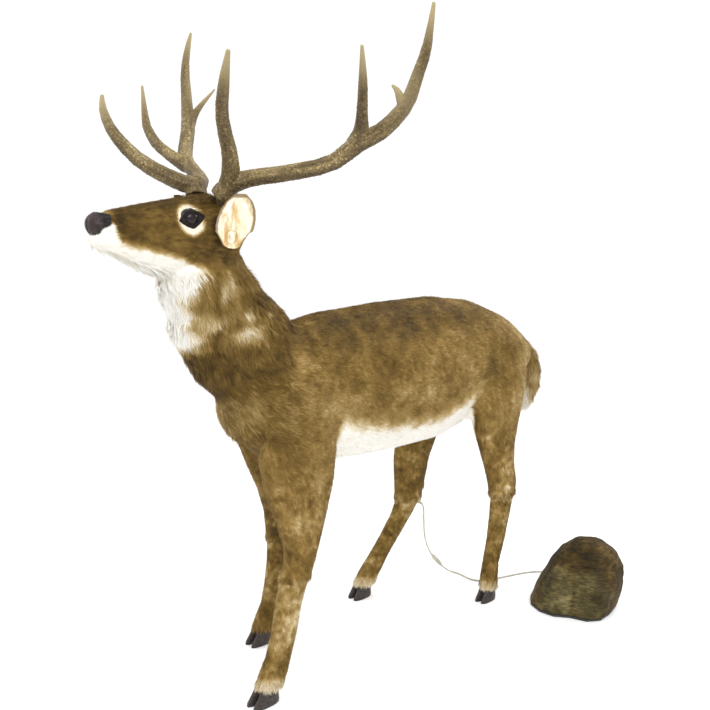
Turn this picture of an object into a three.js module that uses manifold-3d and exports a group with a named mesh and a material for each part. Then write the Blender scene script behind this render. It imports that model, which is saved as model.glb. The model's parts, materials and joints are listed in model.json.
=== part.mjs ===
// A standing buck yard figure: fur pelts over moulded forms on a steel frame, knock-down lower legs,
// a motor-turned neck and head with lit glass eyes, and a faux-rock power box on a low-voltage lead.
// Millimetres. The buck faces -Y, its left side is +X, +Z is up and it stands on z = 0.
import * as THREE from 'three';
import { mergeVertices } from 'three/addons/utils/BufferGeometryUtils.js';
import Module from 'manifold-3d';

const wasm = await Module();
wasm.setup();

// ---------------------------------------------------------------- driving dimensions
const GAP = 0.4;                 // clearance between touching pieces
const PELT = 9;                  // thickness of the fur pelt, backing and pile
const FORM = 5;                  // wall of the moulded forms under the pelt
const CUT = 1.2;                 // clearance where one soft piece is cut by its neighbour

const neck = {
  base: new THREE.Vector3(0, -553, 957),   // where the turning axis meets the seam of the neck
  tilt: THREE.MathUtils.degToRad(32),      // lean of the turning axis towards the nose
  postRadius: 17,
  seamGap: 3,                              // half the gap between the still and the turning pelt
};

const drive = { module: 3, wheelTeeth: 40, pinionTeeth: 10, thickness: 9, sector: 100 };

const leg = { tubeRadius: 13.5, tubeBore: 11.2, rodRadius: 10, plug: 70, socketTop: 818, bottom: 46 };

const rock = {
  centre: [310, 572], height: 208, wall: 5, base: 8,
  // distance of the foot's outline from the middle, every 30 degrees from +X
  plan: [136, 134, 139, 132, 122, 118, 119, 129, 145, 149, 137, 154],
  crease: -0.97,                 // direction of the upright crease in the front
};

const cord = { radius: 2.5, sides: 8 };

const BODY_SIDES = 12;           // sides of the torso's, neck's and head's sections

// Rows of the torso: y, top z, bottom z, half width.
const TORSO = [
  [-552, 752, 712, 26], [-532, 806, 672, 72], [-480, 882, 612, 108], [-400, 941, 570, 125],
  [-300, 960, 552, 132], [-150, 968, 542, 142], [0, 974, 532, 150], [150, 977, 532, 152],
  [280, 968, 556, 148], [390, 946, 594, 142], [490, 906, 634, 128], [570, 858, 676, 104],
  [620, 816, 708, 70], [642, 786, 736, 30],
];

// Rows of the neck along its turning axis: height, shift to the front, half length, half width.
const NECK = [
  [-215, 5, 96, 84], [-150, -16, 128, 106], [-80, -12, 144, 106], [0, 0, 130, 92], [50, 5, 129, 85],
  [100, -6, 118, 78], [150, -10, 116, 73], [190, -12, 104, 66],
];

// Rows of the head: y, top z, bottom z, half width.
const HEAD = [
  [-902, 1194, 1152, 14], [-893, 1212, 1145, 26], [-880, 1225, 1141, 32], [-845, 1234, 1126, 38],
  [-800, 1242, 1104, 46],
  [-745, 1250, 1080, 58], [-700, 1257, 1068, 70], [-655, 1263, 1066, 78], [-610, 1266, 1074, 80],
  [-570, 1260, 1088, 76], [-540, 1245, 1104, 64], [-518, 1222, 1130, 40],
];

// Rows of each leg: x, y, z, half width, half length. The seam at the knee or hock is row 'seam'.
const LEGS = {
  front_left: {
    seam: 300, hoof: [130, -526], size: 1, socket: [70, -400],
    upper: [[94, -372, 800, 44, 70], [103, -395, 690, 50, 112], [111, -406, 600, 50, 126],
      [116, -402, 500, 44, 95], [119, -399, 415, 38, 63], [121, -406, 350, 35, 45],
      [122, -426, 300, 36, 45]],
    lower: [[122, -426, 300, 33, 42], [124, -446, 240, 30, 40], [126, -462, 170, 29, 39],
      [128, -482, 110, 29, 39], [130, -500, 72, 33, 42], [130, -513, 46, 31, 39]],
  },
  front_right: {
    seam: 300, hoof: [-131, -332], size: 1, socket: [-70, -340],
    upper: [[-94, -350, 800, 44, 70], [-103, -345, 690, 50, 108], [-111, -318, 600, 50, 110],
      [-116, -294, 500, 44, 78], [-119, -280, 415, 38, 56], [-121, -276, 350, 35, 45],
      [-122, -274, 300, 36, 45]],
    lower: [[-122, -274, 300, 33, 42], [-124, -276, 240, 30, 40], [-126, -284, 170, 29, 39],
      [-128, -296, 110, 29, 39], [-130, -310, 72, 33, 42], [-131, -320, 46, 31, 39]],
  },
  rear_left: {
    seam: 338, hoof: [121, 376], size: 0.86, socket: [82, 400],
    upper: [[90, 424, 830, 46, 96], [98, 418, 720, 56, 125], [108, 396, 620, 56, 113],
      [114, 394, 540, 48, 84], [118, 405, 460, 41, 63], [120, 427, 390, 37, 60], [121, 431, 338, 35, 51]],
    lower: [[121, 431, 338, 32, 47], [121, 423, 280, 29, 42], [121, 409, 200, 26, 37],
      [121, 389, 125, 26, 29], [121, 384, 74, 29, 32], [121, 382, 46, 27, 31]],
  },
  rear_right: {
    seam: 296, hoof: [-160, 92], size: 0.92, socket: [-82, 380],
    upper: [[-90, 410, 830, 46, 96], [-98, 392, 720, 56, 124], [-108, 346, 620, 56, 120],
      [-116, 300, 540, 48, 98], [-120, 272, 460, 42, 80], [-123, 264, 370, 40, 62],
      [-125, 260, 296, 36, 50]],
    lower: [[-125, 258, 296, 33, 47], [-131, 237, 250, 29, 42], [-140, 199, 190, 27, 38],
      [-148, 157, 130, 27, 38], [-156, 122, 76, 31, 41], [-159, 104, 46, 29, 39]],
  },
};

// Antler branches: rows of x, y, z, radius. The right antler's rows are given on the left side too.
const ANTLERS = {
  left: [
    [[47, -596, 1256, 27], [66, -580, 1286, 25], [105, -549, 1303, 20], [175, -497, 1316, 19],
      [255, -442, 1339, 19], [305, -405, 1384, 21], [345, -371, 1413, 19], [385, -341, 1467, 17],
      [410, -336, 1525, 14], [430, -329, 1586, 11], [446, -329, 1676, 4]],
    [[62, -583, 1284, 25], [80, -590, 1314, 22], [110, -616, 1361, 18], [160, -671, 1431, 15],
      [205, -698, 1498, 12], [238, -711, 1556, 4.5]],
    [[303, -406, 1384, 26], [324, -417, 1411, 18], [350, -441, 1447, 13], [385, -474, 1506, 10],
      [410, -503, 1573, 3.5]],
    [[386, -346, 1460, 16], [374, -348, 1482, 11], [361, -346, 1499, 7], [340, -340, 1511, 3]],
  ],
  right: [
    [[47, -596, 1256, 27], [62, -586, 1284, 25], [110, -540, 1293, 20], [190, -508, 1318, 19],
      [270, -479, 1353, 20], [350, -415, 1428, 19], [395, -387, 1497, 16], [430, -369, 1593, 12],
      [448, -346, 1660, 8], [455, -331, 1698, 3.5]],
    [[64, -596, 1282, 22], [90, -630, 1296, 20], [160, -679, 1338, 18], [215, -712, 1397, 15],
      [248, -722, 1450, 11], [265, -716, 1492, 4.5]],
    [[232, -498, 1332, 22], [270, -517, 1353, 16], [330, -525, 1386, 14], [378, -522, 1425, 12],
      [400, -516, 1460, 9.5], [430, -505, 1540, 3.5]],
    [[362, -404, 1440, 18], [368, -384, 1467, 12], [362, -365, 1495, 7.5], [345, -329, 1541, 2.5]],
  ],
};

// The lead from the hock, down to the floor and along it to the rock, as points chosen by hand.
const LEAD_UPPER = [
  [-126, 333, 262], [-126, 336, 256], [-126, 339, 250], [-127, 341, 241], [-127, 343, 232],
  [-128, 344, 221], [-128, 345, 210], [-128, 346, 198], [-128, 347, 185], [-128, 348, 172],
  [-128, 350, 160], [-127, 352, 148], [-127, 355, 136], [-126, 359, 124], [-126, 363, 112],
  [-125, 368, 102], [-124, 373, 92], [-122, 384, 75],
];
const LEAD_LOWER = [
  [-110, 428, 24], [-104, 441, 13], [-96, 451, 6], [-84, 458, 3.4], [-66, 461, 3], [-44, 459, 3],
  [-20, 456, 3], [4, 460, 3], [24, 476, 3], [37, 502, 3], [47, 534, 3], [58, 572, 3], [70, 612, 3],
  [84, 648, 3], [104, 680, 3], [129, 701, 3.4], [158, 708, 7], [186, 694, 12], [209, 673, 14],
];

// ---------------------------------------------------------------- geometry helpers
const vec = (row) => new THREE.Vector3(row[0], row[1], row[2]);

// Catmull-Rom curve through rows of numbers, sampled at steps + 1 places.
function smoothRows(rows, steps) {
  const last = rows.length - 1;
  return Array.from({ length: steps + 1 }, (_, i) => {
    const place = (i / steps) * last;
    const k = Math.min(Math.floor(place), last - 1);
    const f = place - k;
    const [a, b, c, d] = [rows[Math.max(k - 1, 0)], rows[k], rows[k + 1], rows[Math.min(k + 2, last)]];
    return b.map((_, j) => b[j] + 0.5 * f * (c[j] - a[j]
      + f * (2 * a[j] - 5 * b[j] + 4 * c[j] - d[j] + f * (3 * (b[j] - c[j]) + d[j] - a[j]))));
  });
}

function ellipseRing(centre, acrossAxis, alongAxis, across, along, sides) {
  return Array.from({ length: sides }, (_, i) => {
    const angle = (i / sides) * 2 * Math.PI;
    return centre.clone()
      .addScaledVector(acrossAxis, across * Math.cos(angle))
      .addScaledVector(alongAxis, along * Math.sin(angle));
  });
}

// Closed geometry from a flat list of points and triangles, with its faces turned outward.
function closedGeometry(points, index) {
  const a = new THREE.Vector3();
  const volume = index.reduce((sum, _, i) => (i % 3 ? sum
    : sum + a.copy(points[index[i]]).cross(points[index[i + 1]]).dot(points[index[i + 2]])), 0);
  const geometry = new THREE.BufferGeometry().setFromPoints(points);
  geometry.setIndex(volume < 0 ? index.slice().reverse() : index);
  geometry.computeVertexNormals();
  return geometry;
}

// Skin over a row of rings of equal count, closed by a fan at each end.
function loft(rings) {
  const sides = rings[0].length;
  const points = rings.flat();
  const index = [];
  for (let i = 0; i + 1 < rings.length; i++) {
    for (let j = 0; j < sides; j++) {
      const a = i * sides + j;
      const b = i * sides + ((j + 1) % sides);
      index.push(a, b, a + sides, b, b + sides, a + sides);
    }
  }
  [[0, false], [rings.length - 1, true]].forEach(([ring, flip]) => {
    const hub = points.length;
    points.push(rings[ring].reduce((sum, p) => sum.add(p), new THREE.Vector3()).divideScalar(sides));
    for (let j = 0; j < sides; j++) {
      const a = ring * sides + j;
      const b = ring * sides + ((j + 1) % sides);
      index.push(...(flip ? [a, b, hub] : [b, a, hub]));
    }
  });
  return closedGeometry(points, index);
}

// Loft across the body: rows of y, top z, bottom z, half width, shrunk all round by inset.
function barrel(rows, steps, sides, inset) {
  const X = new THREE.Vector3(1, 0, 0);
  const Z = new THREE.Vector3(0, 0, 1);
  const length = rows.at(-1)[0] - rows[0][0];
  const shrink = (length - 2 * inset) / length;
  const middle = (rows[0][0] + rows.at(-1)[0]) / 2;
  return loft(smoothRows(rows, steps).map(([y, top, bottom, half]) => ellipseRing(
    new THREE.Vector3(0, middle + (y - middle) * shrink, (top + bottom) / 2), X, Z,
    Math.max(half - inset, 3), Math.max((top - bottom) / 2 - inset, 3), sides)));
}

// Loft down a limb: rows of x, y, z, half width, half length, with level rings.
function limb(rows, steps, sides, grow = 0) {
  const X = new THREE.Vector3(1, 0, 0);
  const Y = new THREE.Vector3(0, 1, 0);
  return loft(smoothRows(rows, steps).map(
    (row) => ellipseRing(vec(row), X, Y, row[3] + grow, row[4] + grow, sides)));
}

// Round branch along rows of x, y, z, radius.
function branch(rows, steps, sides) {
  const samples = smoothRows(rows, steps);
  const curve = new THREE.CatmullRomCurve3(rows.map(vec), false, 'catmullrom', 0.5);
  const { normals, binormals } = curve.computeFrenetFrames(steps, false);
  return loft(samples.map(
    (row, i) => ellipseRing(vec(row), normals[i], binormals[i], row[3], row[3], sides)));
}

// Tube of one radius along a list of points, by extruding a round section.
function tubeAlong(points, radius, sides, steps) {
  const section = new THREE.Shape(Array.from({ length: sides }, (_, i) => {
    const angle = (i / sides) * 2 * Math.PI;
    return new THREE.Vector2(radius * Math.cos(angle), radius * Math.sin(angle));
  }));
  const path = new THREE.CatmullRomCurve3(points.map(vec), false, 'catmullrom', 0.5);
  return new THREE.ExtrudeGeometry(section, { steps, bevelEnabled: false, extrudePath: path });
}

// Turned solid between two points: profile rows are radius, distance from the first point.
function turned(from, to, profile, sides) {
  const geometry = new THREE.LatheGeometry(profile.map(([r, d]) => new THREE.Vector2(r, d)), sides);
  const direction = to.clone().sub(from).normalize();
  const upright = new THREE.Vector3(0, 1, 0);
  geometry.applyQuaternion(new THREE.Quaternion().setFromUnitVectors(upright, direction));
  return geometry.translate(from.x, from.y, from.z);
}

function rod(from, to, radius, sides = 10) {
  const length = from.distanceTo(to);
  return turned(from, to, [[0, 0], [radius, 0], [radius, length], [0, length]], sides);
}

function pipe(from, to, outer, inner, sides = 10) {
  const length = from.distanceTo(to);
  return turned(from, to, [[inner, 0], [outer, 0], [outer, length], [inner, length], [inner, 0]], sides);
}

function box(size, centre) {
  return new THREE.BoxGeometry(...size).translate(...centre);
}

function toSolid(geometry) {
  const bare = geometry.clone();
  bare.deleteAttribute('normal');
  bare.deleteAttribute('uv');
  const merged = mergeVertices(bare, 1e-3);
  return new wasm.Manifold(new wasm.Mesh({
    numProp: 3,
    vertProperties: new Float32Array(merged.attributes.position.array),
    triVerts: new Uint32Array(merged.index.array),
  }));
}

function toGeometry(solid) {
  const mesh = solid.getMesh();
  const geometry = new THREE.BufferGeometry();
  geometry.setAttribute('position', new THREE.BufferAttribute(Float32Array.from(mesh.vertProperties), 3));
  geometry.setIndex(Array.from(mesh.triVerts));
  geometry.computeVertexNormals();
  return geometry;
}

const join = (...geometries) => geometries.map(toSolid).reduce((sum, solid) => sum.add(solid));
const cut = (solid, ...geometries) => geometries.map(toSolid).reduce(
  (rest, tool) => rest.subtract(tool), solid);

// ---------------------------------------------------------------- materials
function material(color, roughness, metalness = 0) {
  return new THREE.MeshStandardMaterial({ color, roughness, metalness });
}

const fur = material(0x8a7040, 0.95);
const paleFur = material(0xd9cfb8, 0.95);
const moulded = material(0x4a4a48, 0.7);
const steel = material(0x777b80, 0.45, 0.9);
const hornBrown = material(0x5f5135, 0.7);
const hoofBlack = material(0x2a2628, 0.5);
const gloss = material(0x120d0b, 0.1);
const brass = material(0xb08d57, 0.4, 1);
const board = material(0x1f5a34, 0.6);
const stone = material(0x6b6142, 0.9);
const darkPlastic = material(0x2b2a27, 0.6);
const cordGrey = material(0xb9b8ae, 0.6);

const deer = new THREE.Group();
const nodes = {};

function add(name, shape, look) {
  const mesh = new THREE.Mesh(shape.isBufferGeometry ? shape : toGeometry(shape), look);
  mesh.name = name;
  nodes[name] = mesh;
  deer.add(mesh);
}

// ---------------------------------------------------------------- neck axis frame
const axis = new THREE.Vector3(0, -Math.sin(neck.tilt), Math.cos(neck.tilt));
const forward = new THREE.Vector3(0, -Math.cos(neck.tilt), -Math.sin(neck.tilt));
const side = new THREE.Vector3(1, 0, 0);

// Point of the neck: height along the turning axis, shift to the front, shift to the left.
function neckPoint(height, front = 0, left = 0) {
  const point = neck.base.clone().addScaledVector(axis, height);
  return point.addScaledVector(forward, front).addScaledVector(side, left);
}

function neckLoft(inset, low, high) {
  const rows = NECK.filter(([height]) => height >= low && height <= high);
  const last = rows.length - 1;
  return loft(rows.map(([height, front, along, across], i) => ellipseRing(
    neckPoint(height + (i === 0 ? inset : 0) - (i === last ? inset : 0), front), side, forward,
    across - inset, along - inset, BODY_SIDES)));
}

// Large block above (+1) or below (-1) a plane square to the turning axis.
function neckSide(height, sign) {
  const size = 2000;
  const block = new THREE.BoxGeometry(size, size, size);
  block.applyQuaternion(new THREE.Quaternion().setFromUnitVectors(new THREE.Vector3(0, 0, 1), axis));
  const centre = neckPoint(height + sign * size / 2);
  return block.translate(centre.x, centre.y, centre.z);
}

// ---------------------------------------------------------------- torso
function torsoVolume(inset) {
  return join(barrel(TORSO, 9, BODY_SIDES, inset), neckLoft(inset, -240, 60));
}

function legTube(spec, radius, grow = 0) {
  const [x, y] = spec.socket;
  const knee = vec(spec.upper.at(-1));
  const top = new THREE.Vector3(x, y, leg.socketTop);
  const down = knee.clone().sub(top).normalize();
  return rod(top.clone().addScaledVector(down, -grow), knee.clone().addScaledVector(down, grow), radius);
}

const legTubeHoles = Object.values(LEGS).map((spec) => legTube(spec, leg.tubeRadius + GAP));
const belowSeam = neckSide(-neck.seamGap, 1);

add('torso_pelt', cut(torsoVolume(0).subtract(torsoVolume(PELT)), belowSeam, ...legTubeHoles), fur);

const torsoForm = cut(
  torsoVolume(PELT + GAP).subtract(torsoVolume(PELT + FORM)), belowSeam, ...legTubeHoles);
[['left', 1], ['right', -1]].forEach(([name, sign]) => {
  const half = box([1000, 2000, 2000], [sign * (500 + GAP / 2), 0, 900]);
  add(`torso_form_${name}`, torsoForm.intersect(toSolid(half)), moulded);
});

// ---------------------------------------------------------------- steel frame
function squareTube(width, height, wall, from, to) {
  const corners = (inset) => [[-1, -1], [1, -1], [1, 1], [-1, 1]].map(
    ([x, z]) => new THREE.Vector2(x * (width / 2 - inset), z * (height / 2 - inset)));
  const outline = new THREE.Shape(corners(0));
  outline.holes.push(new THREE.Path(corners(wall).reverse()));
  const geometry = new THREE.ExtrudeGeometry(outline, { depth: to - from, bevelEnabled: false });
  return geometry.rotateX(-Math.PI / 2).translate(0, from, 0);
}

const SPINE = { low: 851, high: 881, front: -444, rear: 450 };
add('spine_beam', squareTube(40, SPINE.high - SPINE.low, 2.5, SPINE.front, SPINE.rear)
  .translate(0, 0, (SPINE.low + SPINE.high) / 2), steel);

// Cross bar under the spine with a socket for each leg tube.
function crossbar(leftLeg, rightLeg) {
  const bar = { radius: 14, z: SPINE.low - 14 - GAP };
  const sockets = [leftLeg, rightLeg].map((spec) => {
    const [x, y] = spec.socket;
    const top = new THREE.Vector3(x, y, leg.socketTop);
    return [top, vec(spec.upper.at(-1)).sub(top).normalize()];
  });
  const ends = sockets.map(([top]) => new THREE.Vector3(top.x, top.y, bar.z));
  let solid = toSolid(rod(ends[0], ends[1], bar.radius));
  sockets.forEach(([top, down]) => {
    const start = top.clone().addScaledVector(down, -10);
    solid = solid.add(toSolid(rod(start, top.clone().addScaledVector(down, 90), 17)));
  });
  const bores = sockets.map(([top, down]) => rod(top.clone(), top.clone().addScaledVector(down, 120),
    leg.tubeRadius + GAP));
  return cut(solid, ...bores);
}

add('shoulder_crossbar', crossbar(LEGS.front_left, LEGS.front_right), steel);
add('hip_crossbar', crossbar(LEGS.rear_left, LEGS.rear_right), steel);

// ---------------------------------------------------------------- legs
function hoof(spec) {
  const [x, y] = spec.hoof;
  const k = spec.size;
  const toe = (sign) => {
    // rows of z, front y, back y, inner x, outer x
    const rows = [
      [0, -47, 34, 1.5, 25], [9, -45, 35, 1.5, 26], [28, -31, 33, 2, 25],
      [leg.bottom - CUT, -21, 30, 2, 23],
    ];
    return loft(rows.map(([z, front, back, inner, outer]) => {
      const middle = (front + back) / 2;
      const half = (back - front) / 2;
      return Array.from({ length: 10 }, (_, i) => {
        const angle = (i / 10) * 2 * Math.PI;
        const across = (inner + outer) / 2 + ((outer - inner) / 2) * Math.cos(angle);
        return new THREE.Vector3(x + sign * k * across, y + k * (middle + half * Math.sin(angle)), z);
      });
    }));
  };
  const web = box([18 * k, 34 * k, leg.bottom - CUT - 8], [x, y + 8 * k, 8 + (leg.bottom - CUT - 8) / 2]);
  return join(toe(1), toe(-1), web);
}

Object.entries(LEGS).forEach(([name, spec]) => {
  const knee = vec(spec.upper.at(-1));
  const top = new THREE.Vector3(...spec.socket, leg.socketTop);
  const down = knee.clone().sub(top).normalize();
  const plugTop = knee.clone().addScaledVector(down, -leg.plug);
  const rodPath = [plugTop, ...[50, 16].map((d) => knee.clone().addScaledVector(down, -d)), knee,
    ...spec.lower.slice(1).map(vec), new THREE.Vector3(...spec.hoof, 14)]
    .map((p) => [p.x, p.y, p.z, leg.rodRadius]);
  const rodHole = rodPath.map(([x, y, z, r]) => [x, y, z, r + GAP]);
  const tube = pipe(top.clone().addScaledVector(down, GAP), knee.clone().addScaledVector(down, -20),
    leg.tubeRadius, leg.tubeBore);
  const tubeHole = rod(top.clone().addScaledVector(down, -40), knee.clone().addScaledVector(down, 25),
    leg.tubeRadius + GAP);
  const upperRows = spec.upper.with(-1, spec.upper.at(-1).with(2, spec.seam + CUT));
  const upper = toSolid(limb(upperRows, 7, 10)).subtract(torsoVolume(-CUT));
  add(`${name}_upper_leg`, cut(upper, tubeHole), fur);
  add(`${name}_leg_tube`, tube, steel);
  const rodCut = branch(rodHole, 8, 8);
  add(`${name}_lower_leg`, cut(toSolid(limb(spec.lower, 5, 10)), rodCut), fur);
  add(`${name}_leg_rod`, branch(rodPath, 8, 8), steel);
  add(`${name}_hoof`, cut(hoof(spec), rodCut), hoofBlack);
});

// ---------------------------------------------------------------- tail
const TAIL = [
  [0, 628, 806, 16, 10], [0, 655, 786, 27, 18], [0, 683, 750, 36, 25], [0, 702, 700, 40, 28],
  [0, 706, 640, 36, 26], [0, 698, 590, 24, 18], [0, 688, 560, 8, 7],
];
add('tail', toSolid(limb(TAIL, 6, 10)).subtract(torsoVolume(-CUT)), fur);

// ---------------------------------------------------------------- neck and head
function headVolume(inset) {
  return join(barrel(HEAD, 8, BODY_SIDES, inset), neckLoft(inset, -90, 196));
}

const eye = { radius: 22, centre: [49, -684, 1211] };
const nose = { back: -864, low: 1177 };

function eyeBall(sign, radius) {
  const [x, y, z] = eye.centre;
  return new THREE.SphereGeometry(radius, 12, 8).translate(sign * x, y, z);
}

// Peg that carries an antler, from inside the skull up to the burr.
const peg = {
  low: new THREE.Vector3(30, -596, 1180), high: new THREE.Vector3(47, -596, 1257), radius: 10,
};

function pegAt(sign, radius, extra = 0) {
  const low = peg.low.clone().setX(sign * peg.low.x);
  const high = peg.high.clone().setX(sign * peg.high.x);
  const up = high.clone().sub(low).normalize();
  return rod(low.addScaledVector(up, -extra), high.addScaledVector(up, extra), radius);
}

const aboveSeam = neckSide(neck.seamGap, -1);

// Wedge of the muzzle's front that the nose takes up. It rises at the back, over the upper lip.
function noseWedge(gap) {
  const outline = [
    [nose.back - gap, 1221 - gap], [-884, 1225 - gap], [-960, 1240], [-960, nose.low + gap],
    [-889 - gap, nose.low + gap], [-886 - gap, 1191 + gap], [nose.back - gap, 1200 + gap],
  ];
  const shape = new THREE.Shape(outline.map(([y, z]) => new THREE.Vector2(y, z)));
  const wedge = new THREE.ExtrudeGeometry(shape, { depth: 200, bevelEnabled: false });
  // the outline's own x and y become the deer's y and z
  const upright = new THREE.Vector3(0, 0, 1);
  wedge.applyMatrix4(new THREE.Matrix4().makeBasis(new THREE.Vector3(0, 1, 0), upright, side));
  return wedge.translate(-100, 0, 0);
}
const noseSeat = noseWedge(0);
const headHoles = [1, -1].flatMap(
  (sign) => [eyeBall(sign, eye.radius + GAP), pegAt(sign, peg.radius + GAP, 20)]);

const headPelt = headVolume(0).subtract(headVolume(PELT - 2));
add('head_pelt', cut(headPelt, aboveSeam, noseSeat, ...headHoles), fur);

const headForm = cut(
  headVolume(PELT - 2 + GAP).subtract(headVolume(PELT - 2 + FORM)), aboveSeam, noseSeat, ...headHoles);
const FORM_SPLIT = 118;          // height up the neck where the neck form meets the head form
add('neck_form', cut(headForm, neckSide(FORM_SPLIT - GAP / 2, 1)), moulded);
add('head_form', cut(headForm, neckSide(FORM_SPLIT + GAP / 2, -1)), moulded);

function noseRing(y, top, bottom, half) {
  return ellipseRing(new THREE.Vector3(0, y, (top + bottom) / 2), side, new THREE.Vector3(0, 0, 1),
    half, (top - bottom) / 2, 14);
}
const nosePad = toSolid(loft([
  noseRing(-907, 1209, 1192, 9), noseRing(-905, 1214, 1184, 15), noseRing(-900, 1219, 1177, 21),
  noseRing(-893, 1223, 1174, 26), noseRing(-883, 1228, 1172, 30), noseRing(-860, 1233, 1172, 33),
]));
add('nose', nosePad.intersect(toSolid(noseWedge(GAP))), hoofBlack);

[['left', 1], ['right', -1]].forEach(([name, sign]) => {
  add(`eye_${name}`, eyeBall(sign, eye.radius), gloss);
  const [x, y, z] = eye.centre;
  const outward = new THREE.Vector3(sign, 0, 0);
  const start = new THREE.Vector3(sign * (x - eye.radius - 9), y, z);
  // a round board with its lamp, facing the back of the eye
  add(`eye_lamp_${name}`, turned(start, start.clone().add(outward),
    [[0, 0], [11, 0], [11, 2], [3, 2], [3, 5], [2, 7], [0, 7.6]], 12), board);
});

// Bracket inside the skull: a bar with a socket for each antler peg.
function antlerBracket() {
  const low = (sign) => peg.low.clone().setX(sign * peg.low.x);
  const up = (sign) => peg.high.clone().setX(sign * peg.high.x).sub(low(sign)).normalize();
  const onAxis = (sign, height) => low(sign).addScaledVector(up(sign), height);
  const socket = (sign) => rod(onAxis(sign, -6), onAxis(sign, 24), 14);
  const bar = box([60, 20, 6], [0, peg.low.y, peg.low.z - 1]);
  return cut(join(bar, socket(1), socket(-1)), pegAt(1, peg.radius + GAP), pegAt(-1, peg.radius + GAP));
}
add('antler_bracket', antlerBracket(), steel);

function antler(rows, sign) {
  const solid = join(...rows.map((row) => branch(row, 2 * row.length, 8)));
  const pegFoot = peg.low.clone().addScaledVector(peg.high.clone().sub(peg.low).normalize(), GAP);
  const shaft = toSolid(rod(pegFoot, peg.high, peg.radius));
  const whole = solid.subtract(headVolume(-CUT)).add(shaft);
  return sign > 0 ? whole : whole.mirror([1, 0, 0]);
}
add('antler_left', antler(ANTLERS.left, 1), hornBrown);
add('antler_right', antler(ANTLERS.right, -1), hornBrown);

// Ear: a cupped leaf of even thickness between a back and a front grid.
function ear(sign) {
  const root = new THREE.Vector3(105, -607, 1144);
  const tip = new THREE.Vector3(128, -597, 1268);
  const lengthwise = tip.clone().sub(root);
  const facing = new THREE.Vector3(0.85, -0.53, 0);
  const sideways = new THREE.Vector3(0.53, 0.85, 0);
  const halfWidths = [20, 34, 42, 44, 43, 39, 30, 12];
  const cup = 16;
  const wall = 5;
  const across = 6;
  const pointOn = (thickness, half, i, j) => {
    const f = (j / across) * 2 - 1;
    const lift = i / (halfWidths.length - 1);
    const back = cup * (1 - f * f) * Math.min(1, half / 30) + 8 * Math.sin(Math.PI * lift) - thickness;
    const point = root.clone().addScaledVector(lengthwise, lift);
    return point.addScaledVector(sideways, f * half).addScaledVector(facing, -back);
  };
  const layer = (thickness) => halfWidths.flatMap((half, i) => Array.from(
    { length: across + 1 }, (_, j) => pointOn(thickness, half, i, j)));
  const points = [...layer(0), ...layer(wall)];
  const index = [];
  const rowCount = halfWidths.length;
  const width = across + 1;
  const offset = rowCount * width;
  for (let i = 0; i + 1 < rowCount; i++) {
    for (let j = 0; j < across; j++) {
      const a = i * width + j;
      index.push(a, a + 1, a + width, a + 1, a + width + 1, a + width);
      index.push(offset + a, offset + a + width, offset + a + 1);
      index.push(offset + a + 1, offset + a + width, offset + a + width + 1);
    }
  }
  const edge = [];
  for (let j = 0; j < across; j++) edge.push(j);
  for (let i = 0; i + 1 < rowCount; i++) edge.push(i * width + across);
  for (let j = across; j > 0; j--) edge.push((rowCount - 1) * width + j);
  for (let i = rowCount - 1; i > 0; i--) edge.push(i * width);
  edge.forEach((a, i) => {
    const b = edge[(i + 1) % edge.length];
    index.push(b, a, offset + a, b, offset + a, offset + b);
  });
  const butt = branch(
    [[60, -606, 1162, 22], [78, -600, 1165, 22], [94, -600, 1170, 18], [105, -604, 1178, 10]], 4, 8);
  const leaf = toSolid(closedGeometry(points, index)).add(toSolid(butt)).subtract(headVolume(-CUT));
  return sign > 0 ? leaf : leaf.mirror([1, 0, 0]);
}
add('ear_left', ear(1), paleFur);
add('ear_right', ear(-1), paleFur);

// ---------------------------------------------------------------- neck bearing and drive
const BEARING = { low: -112, plateLow: -34, plateHigh: -27, housing: 27 };
const pinionReach = drive.module * (drive.wheelTeeth + drive.pinionTeeth) / 2;
const shaftRadius = 4;

function neckBearing() {
  const housing = rod(neckPoint(BEARING.low), neckPoint(BEARING.plateHigh), BEARING.housing, 16);
  const plate = new THREE.BoxGeometry(74, 130, BEARING.plateHigh - BEARING.plateLow);
  plate.applyQuaternion(new THREE.Quaternion().setFromUnitVectors(new THREE.Vector3(0, 0, 1), axis));
  const middle = neckPoint((BEARING.plateLow + BEARING.plateHigh) / 2, 26);
  plate.translate(middle.x, middle.y, middle.z);
  const lug = box([36, 50, 28], [0, SPINE.front - GAP - 25, (SPINE.low + SPINE.high) / 2]);
  const above = BEARING.plateHigh + 5;
  const bore = rod(neckPoint(BEARING.low - 5), neckPoint(above), neck.postRadius + GAP, 16);
  const shaftHole = rod(
    neckPoint(BEARING.plateLow - 5, pinionReach), neckPoint(above, pinionReach), shaftRadius + 2);
  return cut(join(housing, plate, lug), bore, shaftHole);
}
add('neck_bearing', neckBearing(), steel);
const postWall = 3;
add('neck_post', pipe(
  neckPoint(BEARING.low + 4), neckPoint(112), neck.postRadius, neck.postRadius - postWall, 16), steel);

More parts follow.
